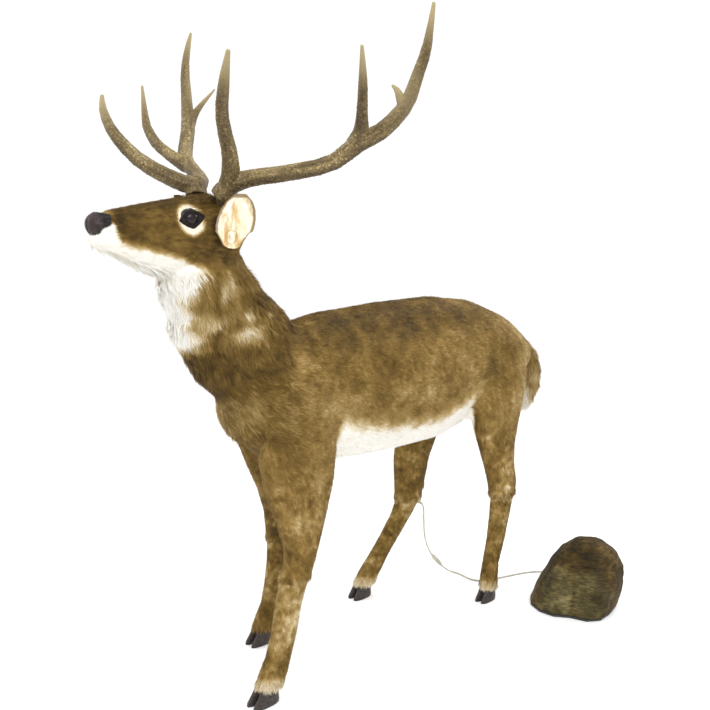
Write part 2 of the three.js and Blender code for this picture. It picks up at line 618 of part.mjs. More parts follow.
// Spur teeth as straight-sided trapezoids; 'from' and 'to' bound the toothed part of the rim.
function gearShape(teeth, bore, from, to, firstTooth) {
  const pitch = drive.module * teeth / 2;
  const [root, tip] = [pitch - 1.25 * drive.module, pitch + 0.9 * drive.module];
  const step = 2 * Math.PI / teeth;
  const outline = new THREE.Shape();
  for (let i = 0; i < teeth; i++) {
    const angle = firstTooth + i * step;
    const turn = Math.atan2(Math.sin(angle), Math.cos(angle));
    const toothed = turn >= from && turn <= to;
    const corners = toothed ? [[-0.32, root], [-0.14, tip], [0.14, tip], [0.32, root]] : [[0, root]];
    corners.forEach(([f, r]) => {
      const a = angle + f * step;
      const method = i || f > -0.3 ? 'lineTo' : 'moveTo';
      outline[method](r * Math.cos(a), r * Math.sin(a));
    });
  }
  outline.closePath();
  const hole = new THREE.Path();
  hole.absarc(0, 0, bore, 0, 2 * Math.PI, true);
  outline.holes.push(hole);
  return outline;
}

// Gear blank set square to the turning axis, its +X to the left and +Y to the front.
function neckGear(shape, low, front) {
  const options = { depth: drive.thickness, bevelEnabled: false, curveSegments: 8 };
  const geometry = new THREE.ExtrudeGeometry(shape, options);
  const basis = new THREE.Matrix4().makeBasis(forward, side, axis);
  geometry.applyMatrix4(basis);
  const place = neckPoint(low, front);
  return geometry.translate(place.x, place.y, place.z);
}
const sectorHalf = THREE.MathUtils.degToRad(drive.sector) / 2;
const GEAR_LOW = -22;
const wheelShape = gearShape(drive.wheelTeeth, neck.postRadius + GAP, -sectorHalf, sectorHalf, 0);
add('neck_wheel', neckGear(wheelShape, GEAR_LOW, 0), brass);

function pinion() {
  const pinionTooth = Math.PI + Math.PI / drive.pinionTeeth;
  const shape = gearShape(drive.pinionTeeth, 2, -Math.PI, Math.PI, pinionTooth);
  const teeth = neckGear(shape, GEAR_LOW, pinionReach);
  const stub = rod(
    neckPoint(BEARING.plateLow - 14, pinionReach), neckPoint(GEAR_LOW + 7, pinionReach), shaftRadius);
  return join(teeth, stub);
}
add('neck_pinion', pinion(), brass);

function gearmotor() {
  const top = BEARING.plateLow - GAP;
  const can = rod(neckPoint(top, pinionReach - 6), neckPoint(top - 62, pinionReach - 6), 19, 20);
  const bore = rod(neckPoint(top + 1, pinionReach), neckPoint(top - 16, pinionReach), shaftRadius + GAP);
  return cut(toSolid(can), bore);
}
add('neck_gearmotor', gearmotor(), darkPlastic);

// ---------------------------------------------------------------- faux-rock power box
// Ring of the rock's wall at a height: the foot's outline, rounder, smaller and leaning back higher up.
// An inset ring lies that far inside both sideways and downward.
const foot = new THREE.CatmullRomCurve3(rock.plan.map((radius, i) => new THREE.Vector3(
  radius * Math.cos(i * Math.PI / 6), radius * Math.sin(i * Math.PI / 6), 0)), true);

function rockRing(z, inset) {
  const h = THREE.MathUtils.clamp((z + inset) / rock.height, 0, 1);
  const lean = Math.sin(h * Math.PI / 2);
  const swell = Math.sqrt(Math.max(1 - Math.pow(h, 2.8), 0)) * (1 + 0.04 * Math.sin(3 * h));
  return foot.getPoints(18).slice(0, -1).map((point) => {
    const angle = Math.atan2(point.y, point.x);
    const crease = 9 * Math.exp(-Math.pow((angle - rock.crease) / 0.2, 2)) * (1 - h * h);
    const radius = THREE.MathUtils.lerp(point.length(), 122, h) * swell - crease - inset;
    return new THREE.Vector3(Math.max(radius, 2) * Math.cos(angle) + 26 * lean,
      Math.max(radius, 2) * Math.sin(angle) + 44 * lean, z);
  });
}

function rockVolume(inset, low) {
  const levels = 5;
  const high = rock.height - inset;
  const rings = Array.from({ length: levels + 1 }, (_, i) => rockRing(
    low + (high - low) * Math.sin((i / levels) * Math.PI / 2) * 0.995, inset));
  return toSolid(loft(rings));
}

// Everything on the rock is built about its own middle, then moved to its place.
function placeRock(solid) {
  return solid.translate([rock.centre[0], rock.centre[1], 0]);
}

const recess = { half: 46, front: 92, low: 16, high: 66, wall: 4 };
const inlet = { x: -20, z: 40, size: [26, 18] };
const rocker = { x: 20, z: 40, size: [20, 14], pivotDepth: 5 };
const gland = { angle: 3 * Math.PI / 4, z: 14, radius: 5.5, length: 42 };
const bossPlaces = [[-70, -58], [72, -50], [-90, 22]];

function glandDirection() {
  return new THREE.Vector3(Math.cos(gland.angle), Math.sin(gland.angle), 0);
}

function rockShell() {
  const outer = rockVolume(0, rock.base);
  const inner = rockVolume(rock.wall, rock.base - 4);
  const trayDepth = 100;
  const tray = (grow) => box(
    [2 * (recess.half + grow), trayDepth, recess.high - recess.low + 2 * grow],
    [0, recess.front - grow + trayDepth / 2, (recess.low + recess.high) / 2]);
  let shell = outer.subtract(inner).add(toSolid(tray(recess.wall)).intersect(outer));
  bossPlaces.forEach(([x, y]) => {
    const boss = rod(new THREE.Vector3(x, y, rock.base + 0.2), new THREE.Vector3(x, y, 190), 7, 8);
    shell = shell.add(toSolid(boss).intersect(outer));
  });
  const bores = bossPlaces.map(
    ([x, y]) => rod(new THREE.Vector3(x, y, 0), new THREE.Vector3(x, y, 40), 2.4, 8));
  const windows = [inlet, rocker].map(({ x, z, size }) => box(
    [size[0] + 2 * GAP, 40, size[1] + 2 * GAP], [x, recess.front, z]));
  const out = glandDirection();
  const onGland = (distance) => out.clone().multiplyScalar(distance).setZ(gland.z);
  const hole = rod(onGland(60), onGland(200), gland.radius + GAP);
  return cut(shell, tray(0), ...bores, ...windows, hole);
}
add('rock_shell', placeRock(rockShell()), stone);

function rockBase() {
  const plate = toSolid(loft([rockRing(0, 5), rockRing(0, 3).map((p) => p.setZ(2)),
    rockRing(0, 3).map((p) => p.setZ(rock.base - GAP))]));
  const holes = bossPlaces.flatMap(([x, y]) => [
    rod(new THREE.Vector3(x, y, -1), new THREE.Vector3(x, y, rock.base + 1), 2.8, 10),
    rod(new THREE.Vector3(x, y, -1), new THREE.Vector3(x, y, 4.4), 5.4, 12)]);
  return cut(plate, ...holes);
}
add('rock_base', placeRock(rockBase()), darkPlastic);

bossPlaces.forEach(([x, y], i) => {
  const screw = turned(new THREE.Vector3(x, y, 1.4), new THREE.Vector3(x, y, 30),
    [[0, 0], [4.8, 0], [4.8, 2.6], [2, 2.6], [2, 26], [0, 28]], 12);
  add(`rock_screw_${i + 1}`, placeRock(toSolid(screw)), steel);
});

add('power_supply', placeRock(join(box([96, 62, 40], [-2, -12, rock.base + 21]),
  box([96, 78, 3], [-2, -12, rock.base + 2]))), darkPlastic);

// Mains inlet: a flanged block with a blind pocket and two pins.
function mainsInlet() {
  const [w, h] = inlet.size;
  const { x, z } = inlet;
  const y = recess.front;
  const block = join(box([w, 26, h], [x, y - 9, z]), box([w + 8, 2, h + 8], [x, y + 1 + GAP, z]));
  const pocket = box([w - 8, 18, h - 8], [x, y - 2, z]);
  const pins = [x - 5, x + 5].map((pinX) => toSolid(
    rod(new THREE.Vector3(pinX, y - 13, z), new THREE.Vector3(pinX, y - 1, z), 1.5, 8)));
  return pins.reduce((sum, pin) => sum.add(pin), cut(block, pocket));
}
add('mains_inlet', placeRock(mainsInlet()), darkPlastic);

// Switch housing: a flanged frame whose pocket holds the rocker.
const ROCKER = { width: 14, height: 9.6, depth: 8 };
function switchHousing() {
  const [w, h] = rocker.size;
  const { x, z } = rocker;
  const y = recess.front;
  const block = join(box([w, 24, h], [x, y - 8, z]), box([w + 6, 2, h + 6], [x, y + 1 + GAP, z]));
  return cut(block, box([ROCKER.width + 0.8, 14, ROCKER.height + 1.2], [x, y - 1, z]));
}
add('switch_housing', placeRock(switchHousing()), darkPlastic);

// Rocker: a shallow V section turning about a pin along its width.
function switchRocker() {
  const { x, z } = rocker;
  const y = recess.front;
  const h = ROCKER.height / 2;
  const section = new THREE.Shape([[-h + 0.6, -4], [h - 0.6, -4], [h, 2.6], [0, 0.9], [-h, 2.6]].map(
    ([a, b]) => new THREE.Vector2(a, b)));
  const bar = new THREE.ExtrudeGeometry(section, { depth: ROCKER.width, bevelEnabled: false });
  bar.applyMatrix4(new THREE.Matrix4().makeBasis(new THREE.Vector3(0, 0, 1), new THREE.Vector3(0, 1, 0),
    new THREE.Vector3(-1, 0, 0)));
  return toSolid(bar.translate(x + ROCKER.width / 2, y + 1, z));
}
add('switch_rocker', placeRock(switchRocker()), material(0xa52a20, 0.4));

// ---------------------------------------------------------------- lead, coupling and strain reliefs
add('lead_upper', tubeAlong(LEAD_UPPER, cord.radius, cord.sides, 13), cordGrey);
add('lead_lower', tubeAlong(LEAD_LOWER, cord.radius, cord.sides, 34), cordGrey);

// Tapered strain relief from its root to the first point of a cord.
const END_GAP = 1.2;             // gap between a cord's end and the piece it meets
function relief(root, end, wide, narrow, sides = 12) {
  const length = root.distanceTo(end) - END_GAP;
  const profile = [[0, 0], [wide, 0], [wide, length * 0.3], [narrow, length], [0, length]];
  return turned(root, end, profile, sides);
}
const hockExit = vec(LEAD_UPPER[0]);
const hockRoot = new THREE.Vector3(-125, 300, 286);
const grommet = relief(hockRoot, hockExit, 6.5, 3.4);
const grommetHole = relief(hockRoot.clone().add(new THREE.Vector3(0, -2, 2)), hockExit, 7.4, 4.5);
add('hock_grommet', grommet, cordGrey);
['rear_right_upper_leg', 'rear_right_lower_leg'].forEach((name) => {
  nodes[name].geometry = toGeometry(cut(toSolid(nodes[name].geometry), grommetHole));
});

const couplingStart = vec(LEAD_UPPER.at(-1));
const couplingEnd = vec(LEAD_LOWER[0]);
const couplingLine = couplingEnd.clone().sub(couplingStart);
const couplingLength = couplingLine.length();
const along = (share) => couplingStart.clone().addScaledVector(couplingLine, share);
const halfLength = couplingLength / 2 - END_GAP - GAP / 2;
add('lead_socket', turned(along(0).addScaledVector(couplingLine, END_GAP / couplingLength), along(0.5),
  [[0, 0], [3.4, 0], [4.6, 9], [7, 12], [7, halfLength], [0, halfLength]], 12), cordGrey);
add('lead_plug', turned(along(1).addScaledVector(couplingLine, -END_GAP / couplingLength), along(0.5),
  [[0, 0], [3.4, 0], [4.4, 9], [6.2, 12], [6.2, halfLength - 5], [7.2, halfLength - 5],
    [7.2, halfLength], [0, halfLength]], 12), cordGrey);

function rockGland() {
  const end = vec(LEAD_LOWER.at(-1));
  const inner = end.clone().addScaledVector(glandDirection(), -gland.length);
  return turned(inner, end, [[0, 0], [gland.radius, 0], [gland.radius, 24], [gland.radius - 1, 26],
    [3.2, gland.length - END_GAP], [0, gland.length - END_GAP]], 12);
}
add('rock_gland', rockGland(), cordGrey);

// ---------------------------------------------------------------- origin at the middle of the footprint
const cordNodes = ['lead_upper', 'lead_lower', 'lead_socket', 'lead_plug', 'hock_grommet', 'rock_gland'];
const extent = new THREE.Box3();
Object.entries(nodes).filter(([name]) => !cordNodes.includes(name)).forEach(([, mesh]) => {
  mesh.geometry.computeBoundingBox();
  extent.union(mesh.geometry.boundingBox);
});
const middle = extent.getCenter(new THREE.Vector3());
deer.position.set(-middle.x, -middle.y, 0);

export default deer;
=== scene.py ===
"""A standing buck in faux fur, with branching antlers, glass eyes and a faux rock on a lead."""
import json
import math

import bmesh
import bpy
import numpy as np
from mathutils import Matrix, Vector
from mathutils.bvhtree import BVHTree


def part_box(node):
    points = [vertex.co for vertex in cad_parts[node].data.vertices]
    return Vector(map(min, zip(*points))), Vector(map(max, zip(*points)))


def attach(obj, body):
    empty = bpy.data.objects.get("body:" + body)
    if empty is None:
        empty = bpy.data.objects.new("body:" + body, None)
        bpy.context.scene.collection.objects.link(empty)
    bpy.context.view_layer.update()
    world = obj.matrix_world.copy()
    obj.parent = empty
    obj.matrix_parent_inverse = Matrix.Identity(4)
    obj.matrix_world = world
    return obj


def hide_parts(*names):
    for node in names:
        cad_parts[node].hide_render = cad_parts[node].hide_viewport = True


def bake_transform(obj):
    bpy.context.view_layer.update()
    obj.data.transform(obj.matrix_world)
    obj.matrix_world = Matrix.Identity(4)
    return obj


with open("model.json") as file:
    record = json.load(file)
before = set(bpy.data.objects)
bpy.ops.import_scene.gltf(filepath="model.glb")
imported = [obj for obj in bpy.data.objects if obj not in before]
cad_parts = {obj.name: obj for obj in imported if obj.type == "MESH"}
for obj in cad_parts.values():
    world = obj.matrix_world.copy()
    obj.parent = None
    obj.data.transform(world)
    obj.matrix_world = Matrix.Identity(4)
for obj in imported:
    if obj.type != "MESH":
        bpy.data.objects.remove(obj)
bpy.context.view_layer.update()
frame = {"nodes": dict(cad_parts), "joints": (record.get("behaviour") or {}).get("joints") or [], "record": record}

ROOT, NECK = "body_and_rock", "neck_and_head"
LEGS = ("front_left", "front_right", "rear_left", "rear_right")
SIDES = {"left": 1, "right": -1}
EYES = {sign: sum((Vector(corner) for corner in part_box(f"eye_{side}")), Vector()) / 2
        for side, sign in SIDES.items()}

# The neck's turning axis, and the step from the model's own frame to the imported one.
neck_joint = next(j for j in frame["joints"] if j["name"] == "neck_turn")
NECK_BASE = np.array(neck_joint["pos_m"])
NECK_AXIS = np.array(neck_joint["axis"])
NECK_PIVOT = (0, -0.553, 0.957)      # the same place in the model's own frame
SHIFT = NECK_BASE - np.array(NECK_PIVOT)
COLLAR = 0.060                       # half the length of the pelt that twists at the neck
NECK_REAR = -0.30                    # the neck's foot ends here, and behind it all is trunk
PILE = 0.0025                        # the skins lie this deep under the pelt's outside


def place(point):
    """A point of the model's own frame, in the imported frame."""
    return Vector(np.array(point) + SHIFT)


def link_object(name, data):
    obj = bpy.data.objects.new(name, data)
    bpy.context.scene.collection.objects.link(obj)
    return obj


# ---- camera
CAMERA_PLACE = (1.850, -1.892, 1.297)
CAMERA_TURN = 46.07, 10.34, 1.18     # degrees round the figure, down and sideways


def make_camera():
    azimuth, pitch, roll = (math.radians(angle) for angle in CAMERA_TURN)
    forward = Vector((-math.sin(azimuth) * math.cos(pitch), math.cos(azimuth) * math.cos(pitch),
                      -math.sin(pitch)))
    level = forward.cross(Vector((0, 0, 1))).normalized()
    upright = level.cross(forward)
    right = math.cos(roll) * level + math.sin(roll) * upright
    up = -math.sin(roll) * level + math.cos(roll) * upright
    data = bpy.data.cameras.new("camera")
    data.lens, data.sensor_width = 47.85, 36
    camera = link_object("camera", data)
    turn = Matrix((right, up, -forward)).transposed().to_4x4()
    camera.matrix_world = Matrix.Translation(place(CAMERA_PLACE)) @ turn
    bpy.context.scene.camera = camera


make_camera()


# ---- material helpers
SHADER = "Principled BSDF"


def linear(red, green, blue):
    """An sRGB colour of 0 to 255, as linear RGBA."""
    def one(c):
        c /= 255
        return c / 12.92 if c <= 0.04045 else ((c + 0.055) / 1.055) ** 2.4
    return (one(red), one(green), one(blue), 1)


def new_material(name, color, roughness=0.6, metallic=0.0, specular=0.5):
    material = bpy.data.materials.new(name)
    material.use_nodes = True
    inputs = material.node_tree.nodes[SHADER].inputs
    inputs["Base Color"].default_value = color
    inputs["Roughness"].default_value = roughness
    inputs["Metallic"].default_value = metallic
    inputs["Specular IOR Level"].default_value = specular
    return material, material.node_tree


def noise_node(tree, scale, detail=4, stretch=(1, 1, 1), roughness=0.5):
    coordinates = tree.nodes.new("ShaderNodeTexCoord")
    mapping = tree.nodes.new("ShaderNodeMapping")
    mapping.inputs["Scale"].default_value = stretch
    noise = tree.nodes.new("ShaderNodeTexNoise")
    noise.inputs["Scale"].default_value = scale
    noise.inputs["Detail"].default_value = detail
    noise.inputs["Roughness"].default_value = roughness
    tree.links.new(coordinates.outputs["Object"], mapping.inputs["Vector"])
    tree.links.new(mapping.outputs["Vector"], noise.inputs["Vector"])
    return noise.outputs["Fac"]


def ramp_node(tree, factor, stops):
    ramp = tree.nodes.new("ShaderNodeValToRGB")
    elements = ramp.color_ramp.elements
    elements[0].position, elements[0].color = stops[0]
    elements[1].position, elements[1].color = stops[-1]
    for position, color in stops[1:-1]:
        elements.new(position).color = color
    tree.links.new(factor, ramp.inputs["Fac"])
    return ramp.outputs["Color"]


def mix_node(tree, factor, first, second, blend="MIX"):
    mix = tree.nodes.new("ShaderNodeMix")
    mix.data_type, mix.blend_type = "RGBA", blend
    for value, socket in ((factor, mix.inputs[0]), (first, mix.inputs[6]), (second, mix.inputs[7])):
        if isinstance(value, bpy.types.NodeSocket):
            tree.links.new(value, socket)
        else:
            socket.default_value = value
    return mix.outputs[2]


def shifted(tree, value, factor, offset, extra):
    """A node value times a factor plus an offset, plus a second node value."""
    scaled, total = (tree.nodes.new("ShaderNodeMath") for _ in range(2))
    scaled.operation, total.operation = "MULTIPLY_ADD", "ADD"
    tree.links.new(value, scaled.inputs[0])
    scaled.inputs[1].default_value = factor
    scaled.inputs[2].default_value = offset
    tree.links.new(scaled.outputs[0], total.inputs[0])
    tree.links.new(extra, total.inputs[1])
    return total.outputs[0]


def painted(tree, name):
    """A value painted on the mesh, as a node output."""
    node = tree.nodes.new("ShaderNodeAttribute")
    node.attribute_name = name
    return node.outputs["Fac"]


def set_color(tree, color):
    tree.links.new(color, tree.nodes[SHADER].inputs["Base Color"])


def add_bump(tree, height, strength, distance):
    bump = tree.nodes.new("ShaderNodeBump")
    bump.inputs["Strength"].default_value = strength
    bump.inputs["Distance"].default_value = distance
    tree.links.new(height, bump.inputs["Height"])
    tree.links.new(bump.outputs["Normal"], tree.nodes[SHADER].inputs["Normal"])


def two_tone(name, dark, light, roughness, grain, bump, finer=None, span=(0.3, 0.7), **finish):
    """A finish that runs between two colours over a noise, with bump from it or from a finer one."""
    material, tree = new_material(name, linear(*dark), roughness, **finish)
    shade = noise_node(tree, *grain)
    set_color(tree, ramp_node(tree, shade, [(span[0], linear(*dark)), (span[1], linear(*light))]))
    if bump:
        add_bump(tree, noise_node(tree, *finer) if finer else shade, *bump)
    return material


# ---- coat colours
# The coat runs on one scale, its tone, from dark brown at 0 through gold to white at 1.
TONES = [(0.0, (44, 33, 17)), (0.2, (80, 61, 26)), (0.4, (117, 91, 42)), (0.55, (148, 120, 66)),
         (0.7, (186, 161, 110)), (0.85, (228, 214, 184)), (1.0, (252, 251, 246))]
SHADES = 22                          # strand materials along that scale


def tone_color(tone):
    places = [t for t, _ in TONES]
    return tuple(float(np.interp(tone, places, [c[k] for _, c in TONES])) for k in range(3))


def lattice_noise(points, size, seed, stretch=(1, 1, 1)):
    """Smooth noise from -1 to 1 with bumps about size metres across."""
    cells = 32
    table = np.random.default_rng(seed).uniform(-1, 1, (cells, cells, cells))
    scaled = points / (size * np.array(stretch)) + 100.0
    corner = np.floor(scaled).astype(int)
    f = scaled - corner
    f = f * f * (3 - 2 * f)
    total = np.zeros(len(points))
    for dx in (0, 1):
        for dy in (0, 1):
            for dz in (0, 1):
                weight = np.abs(1 - dx - f[:, 0]) * np.abs(1 - dy - f[:, 1]) * np.abs(1 - dz - f[:, 2])
                index = (corner + (dx, dy, dz)) % cells
                total += weight * table[index[:, 0], index[:, 1], index[:, 2]]
    return total


def noise_vectors(points, size, seed):
    return np.stack([lattice_noise(points, size, seed + k) for k in range(3)], 1)


def rise(value, low, high):
    """0 up to low, 1 from high on, and a smooth rise between."""
    t = np.clip((value - low) / (high - low), 0, 1)
    return t * t * (3 - 2 * t)


def fall(value, low, high):
    return 1 - rise(value, low, high)


def bell(value, width):
    """1 where the value is 0, fading to both sides."""
    return np.exp(-(value / width) ** 2)


def neck_height(points):
    return (points - NECK_BASE) @ NECK_AXIS


# Patches of the coat on either side: centre, radii and change of tone.
TORSO_PATCHES = [
    ((0.100, -0.401, 0.850), (0.06, 0.050, 0.055), 0.18),
    ((0.100, -0.535, 0.830), (0.06, 0.060, 0.045), -0.17),
    ((0.108, -0.181, 0.881), (0.06, 0.015, 0.050), 0.15),
    ((0.125, -0.120, 0.820), (0.08, 0.036, 0.120), -0.09),
    ((0.110, -0.040, 0.905), (0.08, 0.060, 0.050), -0.06),
    ((0.150, 0.060, 0.800), (0.08, 0.035, 0.080), 0.08),
    ((0.125, 0.160, 0.880), (0.08, 0.060, 0.040), 0.08),
    ((0.100, 0.420, 0.880), (0.08, 0.060, 0.060), 0.07),
    ((0.130, -0.300, 0.760), (0.05, 0.050, 0.090), 0.13),
    ((0.145, 0.327, 0.767), (0.06, 0.030, 0.060), -0.17),
    ((0.129, 0.270, 0.685), (0.06, 0.040, 0.030), 0.16),
    ((0.138, 0.322, 0.548), (0.06, 0.014, 0.013), 0.30),
    ((0.157, -0.421, 0.628), (0.05, 0.022, 0.070), -0.04),
    ((0.157, -0.383, 0.485), (0.05, 0.018, 0.080), 0.12),
    ((0.066, -0.360, 0.570), (0.02, 0.050, 0.040), 0.35),
    ((0.154, 0.416, 0.374), (0.05, 0.016, 0.016), 0.24),
    ((0.087, 0.262, 0.326), (0.06, 0.014, 0.018), 0.26),
]
NECK_PATCHES = [
    ((0.083, -0.552, 0.995), (0.05, 0.024, 0.014), 0.42),
    ((0.083, -0.556, 0.952), (0.05, 0.040, 0.019), 0.38),
    ((0.071, -0.588, 1.080), (0.04, 0.012, 0.034), 0.34),
    ((0.076, -0.614, 1.050), (0.04, 0.012, 0.030), 0.24),
    ((0.090, -0.500, 0.955), (0.05, 0.028, 0.024), -0.12),
    ((0.090, -0.560, 1.035), (0.05, 0.026, 0.022), -0.12),
    ((0.070, -0.632, 1.040), (0.04, 0.010, 0.034), -0.16),
]
FACE_PATCHES = [
    ((0.070, -0.622, 1.190), (0.05, 0.016, 0.050), -0.13),
    ((0.060, -0.770, 1.175), (0.05, 0.030, 0.014), 0.10),
    ((0.060, -0.720, 1.150), (0.05, 0.040, 0.012), 0.10),
    ((0.010, -0.872, 1.222), (0.03, 0.014, 0.010), 0.45),
    ((0.060, -0.640, 1.130), (0.05, 0.040, 0.014), -0.08),
]


def patches(p, rows):
    """Sum of soft oval patches at points of the model's own frame, alike on both sides."""
    mirrored = np.column_stack([np.abs(p[:, 0]), p[:, 1:]])
    total = np.zeros(len(p))
    for centre, radii, change in rows:
        offset = (mirrored - np.array(centre)) / np.array(radii)
        total += change * np.exp(-(offset ** 2).sum(1))
    return total


def toward(tone, goal, share):
    return tone + (goal - tone) * share


def nap(points, size, seed):
    """Blotches of brushed pile, with their edges bent by a second noise."""
    bend = noise_vectors(points, size * 0.8, seed + 1)
    return lattice_noise(points + 0.45 * size * bend, size, seed)


def coat_tone(points, part):
    """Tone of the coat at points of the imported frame."""
    p = points - SHIFT
    fray = 0.005 * lattice_noise(points, 0.006, 11) + 0.006 * lattice_noise(points, 0.020, 12)
    if part == "head":
        tone = head_tone(points, p, fray)
    elif part == "tail":
        tone = tail_tone(points, p, fray)
    else:
        tone = torso_tone(points, p, fray)
    if part == "collar":
        tone = neck_tone(points, p, tone, fray)
    return np.clip(tone, 0, 1)


def torso_tone(points, p, fray):
    x, y, z = np.abs(p[:, 0]), p[:, 1], p[:, 2]
    in_leg = fall(z, 0.50, 0.66)
    tone = 0.41 + 0.07 * rise(y, 0.10, 0.50) + 0.06 * rise(x, 0.09, 0.15) - 0.02 * in_leg
    tone += 0.14 * nap(points, 0.090, 1) + 0.08 * nap(points, 0.034, 41)
    tone += 0.11 * lattice_noise(points, 0.007, 3) - 0.05 * rise(z, 0.86, 0.95)
    tone += 0.04 * lattice_noise(points, 0.045, 4, stretch=(6, 1, 4)) * (1 - in_leg)
    tone += 0.07 * lattice_noise(points, 0.009, 7, stretch=(2, 1, 3)) * (1 - in_leg)
    tone += (0.12 * nap(points, 0.024, 51) + 0.13 * nap(points, 0.010, 61)) * in_leg
    tone += patches(p, TORSO_PATCHES)
    tone = belly_tone(points, p, tone, fray)
    return knee_and_cuff(p, tone, fray)


def belly_tone(points, p, tone, fray):
    """White belly between the legs, through a cream edge."""
    x, y, z = np.abs(p[:, 0]), p[:, 1], p[:, 2]
    edge = np.interp(y, (-0.25, -0.17, 0.0, 0.14, 0.235, 0.30),
                     (0.692, 0.665, 0.640, 0.645, 0.680, 0.700))
    edge += 0.010 * lattice_noise(points, 0.035, 13)
    right = p[:, 0] < 0
    fore = np.where(right, -0.195, -0.285)               # behind the front leg of each side
    hind = np.interp(x, (0.085, 0.115), (0.330, 0.245)) - 0.06 * right
    length = rise(y, fore, fore + 0.03) * fall(y, hind, hind + 0.03)
    length *= rise(z, 0.50, 0.53)
    height = z + 1.6 * fray - edge
    tone = toward(tone, 0.62, 0.70 * fall(height, 0.005, 0.055) * length)
    tone = toward(tone, 0.80, 0.85 * fall(height, -0.012, 0.026) * length)
    return toward(tone, 1.00, fall(height, -0.034, 0.004) * length)


def knee_height(p):
    """Height of the seam between upper and lower leg, by how far back the leg stands."""
    return np.where(p[:, 1] > 0.30, 0.338, 0.300)


def knee_and_cuff(p, tone, fray):
    """Paler pile round the knees, and pale cuffs above three of the hooves."""
    y, z = p[:, 1], p[:, 2]
    tone = tone + 0.10 * bell(z - knee_height(p), 0.016)
    tone += 0.05 * (y < -0.1) * fall(z, 0.20, 0.28)
    cuff = fall(z + fray, 0.060, 0.078)
    brown = (p[:, 0] < 0) & (y < -0.1)
    return toward(tone, np.where(brown, 0.45, 0.80), cuff)


def tail_tone(points, p, fray):
    y, z = p[:, 1], p[:, 2]
    tone = 0.58 + 0.16 * nap(points, 0.015, 51)
    under = fall(y + fray - 0.16 * (0.80 - z), 0.650, 0.668) * fall(z, 0.66, 0.72)
    return toward(tone, 0.96, np.maximum(under, fall(z + fray, 0.575, 0.615)))


def neck_tone(points, p, tone, fray):
    """White throat and the paler swirls of the neck."""
    y, z = p[:, 1], p[:, 2]
    tone = tone + 0.13 * nap(points, 0.035, 6) * rise(neck_height(points), -0.06, 0.03)
    tone += 0.10 * lattice_noise(points, 0.006, 9, stretch=(1, 1, 4))
    gold = rise(z, 0.89, 0.93) * fall(z, 0.99, 1.03)
    tone += 0.12 * gold * fall(y, -0.54, -0.46)
    tone += patches(p, NECK_PATCHES)
    edge = np.interp(z, (0.915, 0.945, 0.980, 1.003, 1.040, 1.065, 1.100),
                     (-0.676, -0.662, -0.684, -0.669, -0.695, -0.672, -0.645))
    inside = y + 1.6 * fray - edge
    above = rise(z + 1.5 * fray, 0.898, 0.925)
    tone = toward(tone, 0.70, 0.7 * fall(inside, 0.0, 0.028) * above)
    return toward(tone, 1.0, fall(inside, -0.018, 0.008) * above)


def head_tone(points, p, fray):
    x, y, z = np.abs(p[:, 0]), p[:, 1], p[:, 2]
    plain = 0.42 + 0.05 * nap(points, 0.05, 1) + 0.03 * lattice_noise(points, 0.010, 3)
    neck = neck_tone(points, p, plain + 0.06, fray)
    face = 0.33 + 0.11 * nap(points, 0.030, 41) + 0.08 * lattice_noise(points, 0.007, 3)
    face += 0.12 * lattice_noise(points, 0.004, 5, stretch=(1, 4, 1.5))
    face += patches(p, FACE_PATCHES)
    face -= 0.12 * rise(-y, 0.76, 0.84) + 0.08 * rise(z, 1.222, 1.250)
    jaw_edge = np.interp(y, (-0.862, -0.856, -0.846, -0.818, -0.793, -0.733, -0.674, -0.650, -0.620),
                         (1.206, 1.180, 1.160, 1.155, 1.148, 1.129, 1.107, 1.095, 1.060))
    below = z + 0.7 * fray - jaw_edge
    face = toward(face, 0.66, 0.7 * fall(below, 0.0, 0.016))
    face = toward(face, 1.0, fall(below, -0.012, 0.005))
    ring = np.sqrt(((y + 0.686) / 0.031) ** 2 + ((z - 1.208) / 0.036) ** 2) + 8 * fray
    face = toward(face, 0.94, fall(ring, 0.80, 1.15) * (x > 0.03))
    return toward(neck, face, rise(z, 1.080, 1.110))


def coat_material():
    """Skin under the strands: its tone is painted on the mesh, with fine streaks and bump from nodes."""
    material, tree = new_material("coat", linear(126, 101, 56), 0.85, specular=0.2)
    streaks = noise_node(tree, 420, 5, (1, 0.35, 0.35), 0.7)
    total = shifted(tree, streaks, 0.22, -0.16, painted(tree, "tone"))
    stops = [(step, linear(*color)) for step, color in TONES]
    set_color(tree, ramp_node(tree, total, stops))
    add_bump(tree, streaks, 0.6, 0.003)
    return material


COAT = coat_material()
STRAND_MATERIALS = [
    new_material(f"strand_{i:02d}", linear(*tone_color(i / (SHADES - 1))), 0.6, specular=0.15)[0]
    for i in range(SHADES)]


# ---- mesh helpers
def mesh_object(name, vertices, faces, smooth=True):
    mesh = bpy.data.meshes.new(name)
    mesh.from_pydata([tuple(v) for v in vertices], [], [tuple(f) for f in faces])
    mesh.validate()
    if smooth:
        mesh.shade_smooth()
    return link_object(name, mesh)


def read_rows(items, field, width=3, kind=float):
    """One field of every item of a mesh, as an array with a row for each."""
    values = np.empty(len(items) * width, dtype=kind)
    items.foreach_get(field, values)
    return values.reshape(-1, width)


def read_points(mesh):
    return read_rows(mesh.vertices, "co")


def read_normals(mesh):
    return read_rows(mesh.vertices, "normal")


def write_points(mesh, points):
    mesh.vertices.foreach_set("co", np.ascontiguousarray(points, dtype=np.float32).ravel())
    mesh.update()


def write_attribute(obj, name, values):
    attribute = obj.data.attributes.new(name, "FLOAT", "POINT")
    attribute.data.foreach_set("value", values.astype(np.float32))


def finished_mesh(bm, name):
    mesh = bpy.data.meshes.new(name)
    bm.to_mesh(mesh)
    bm.free()
    return mesh


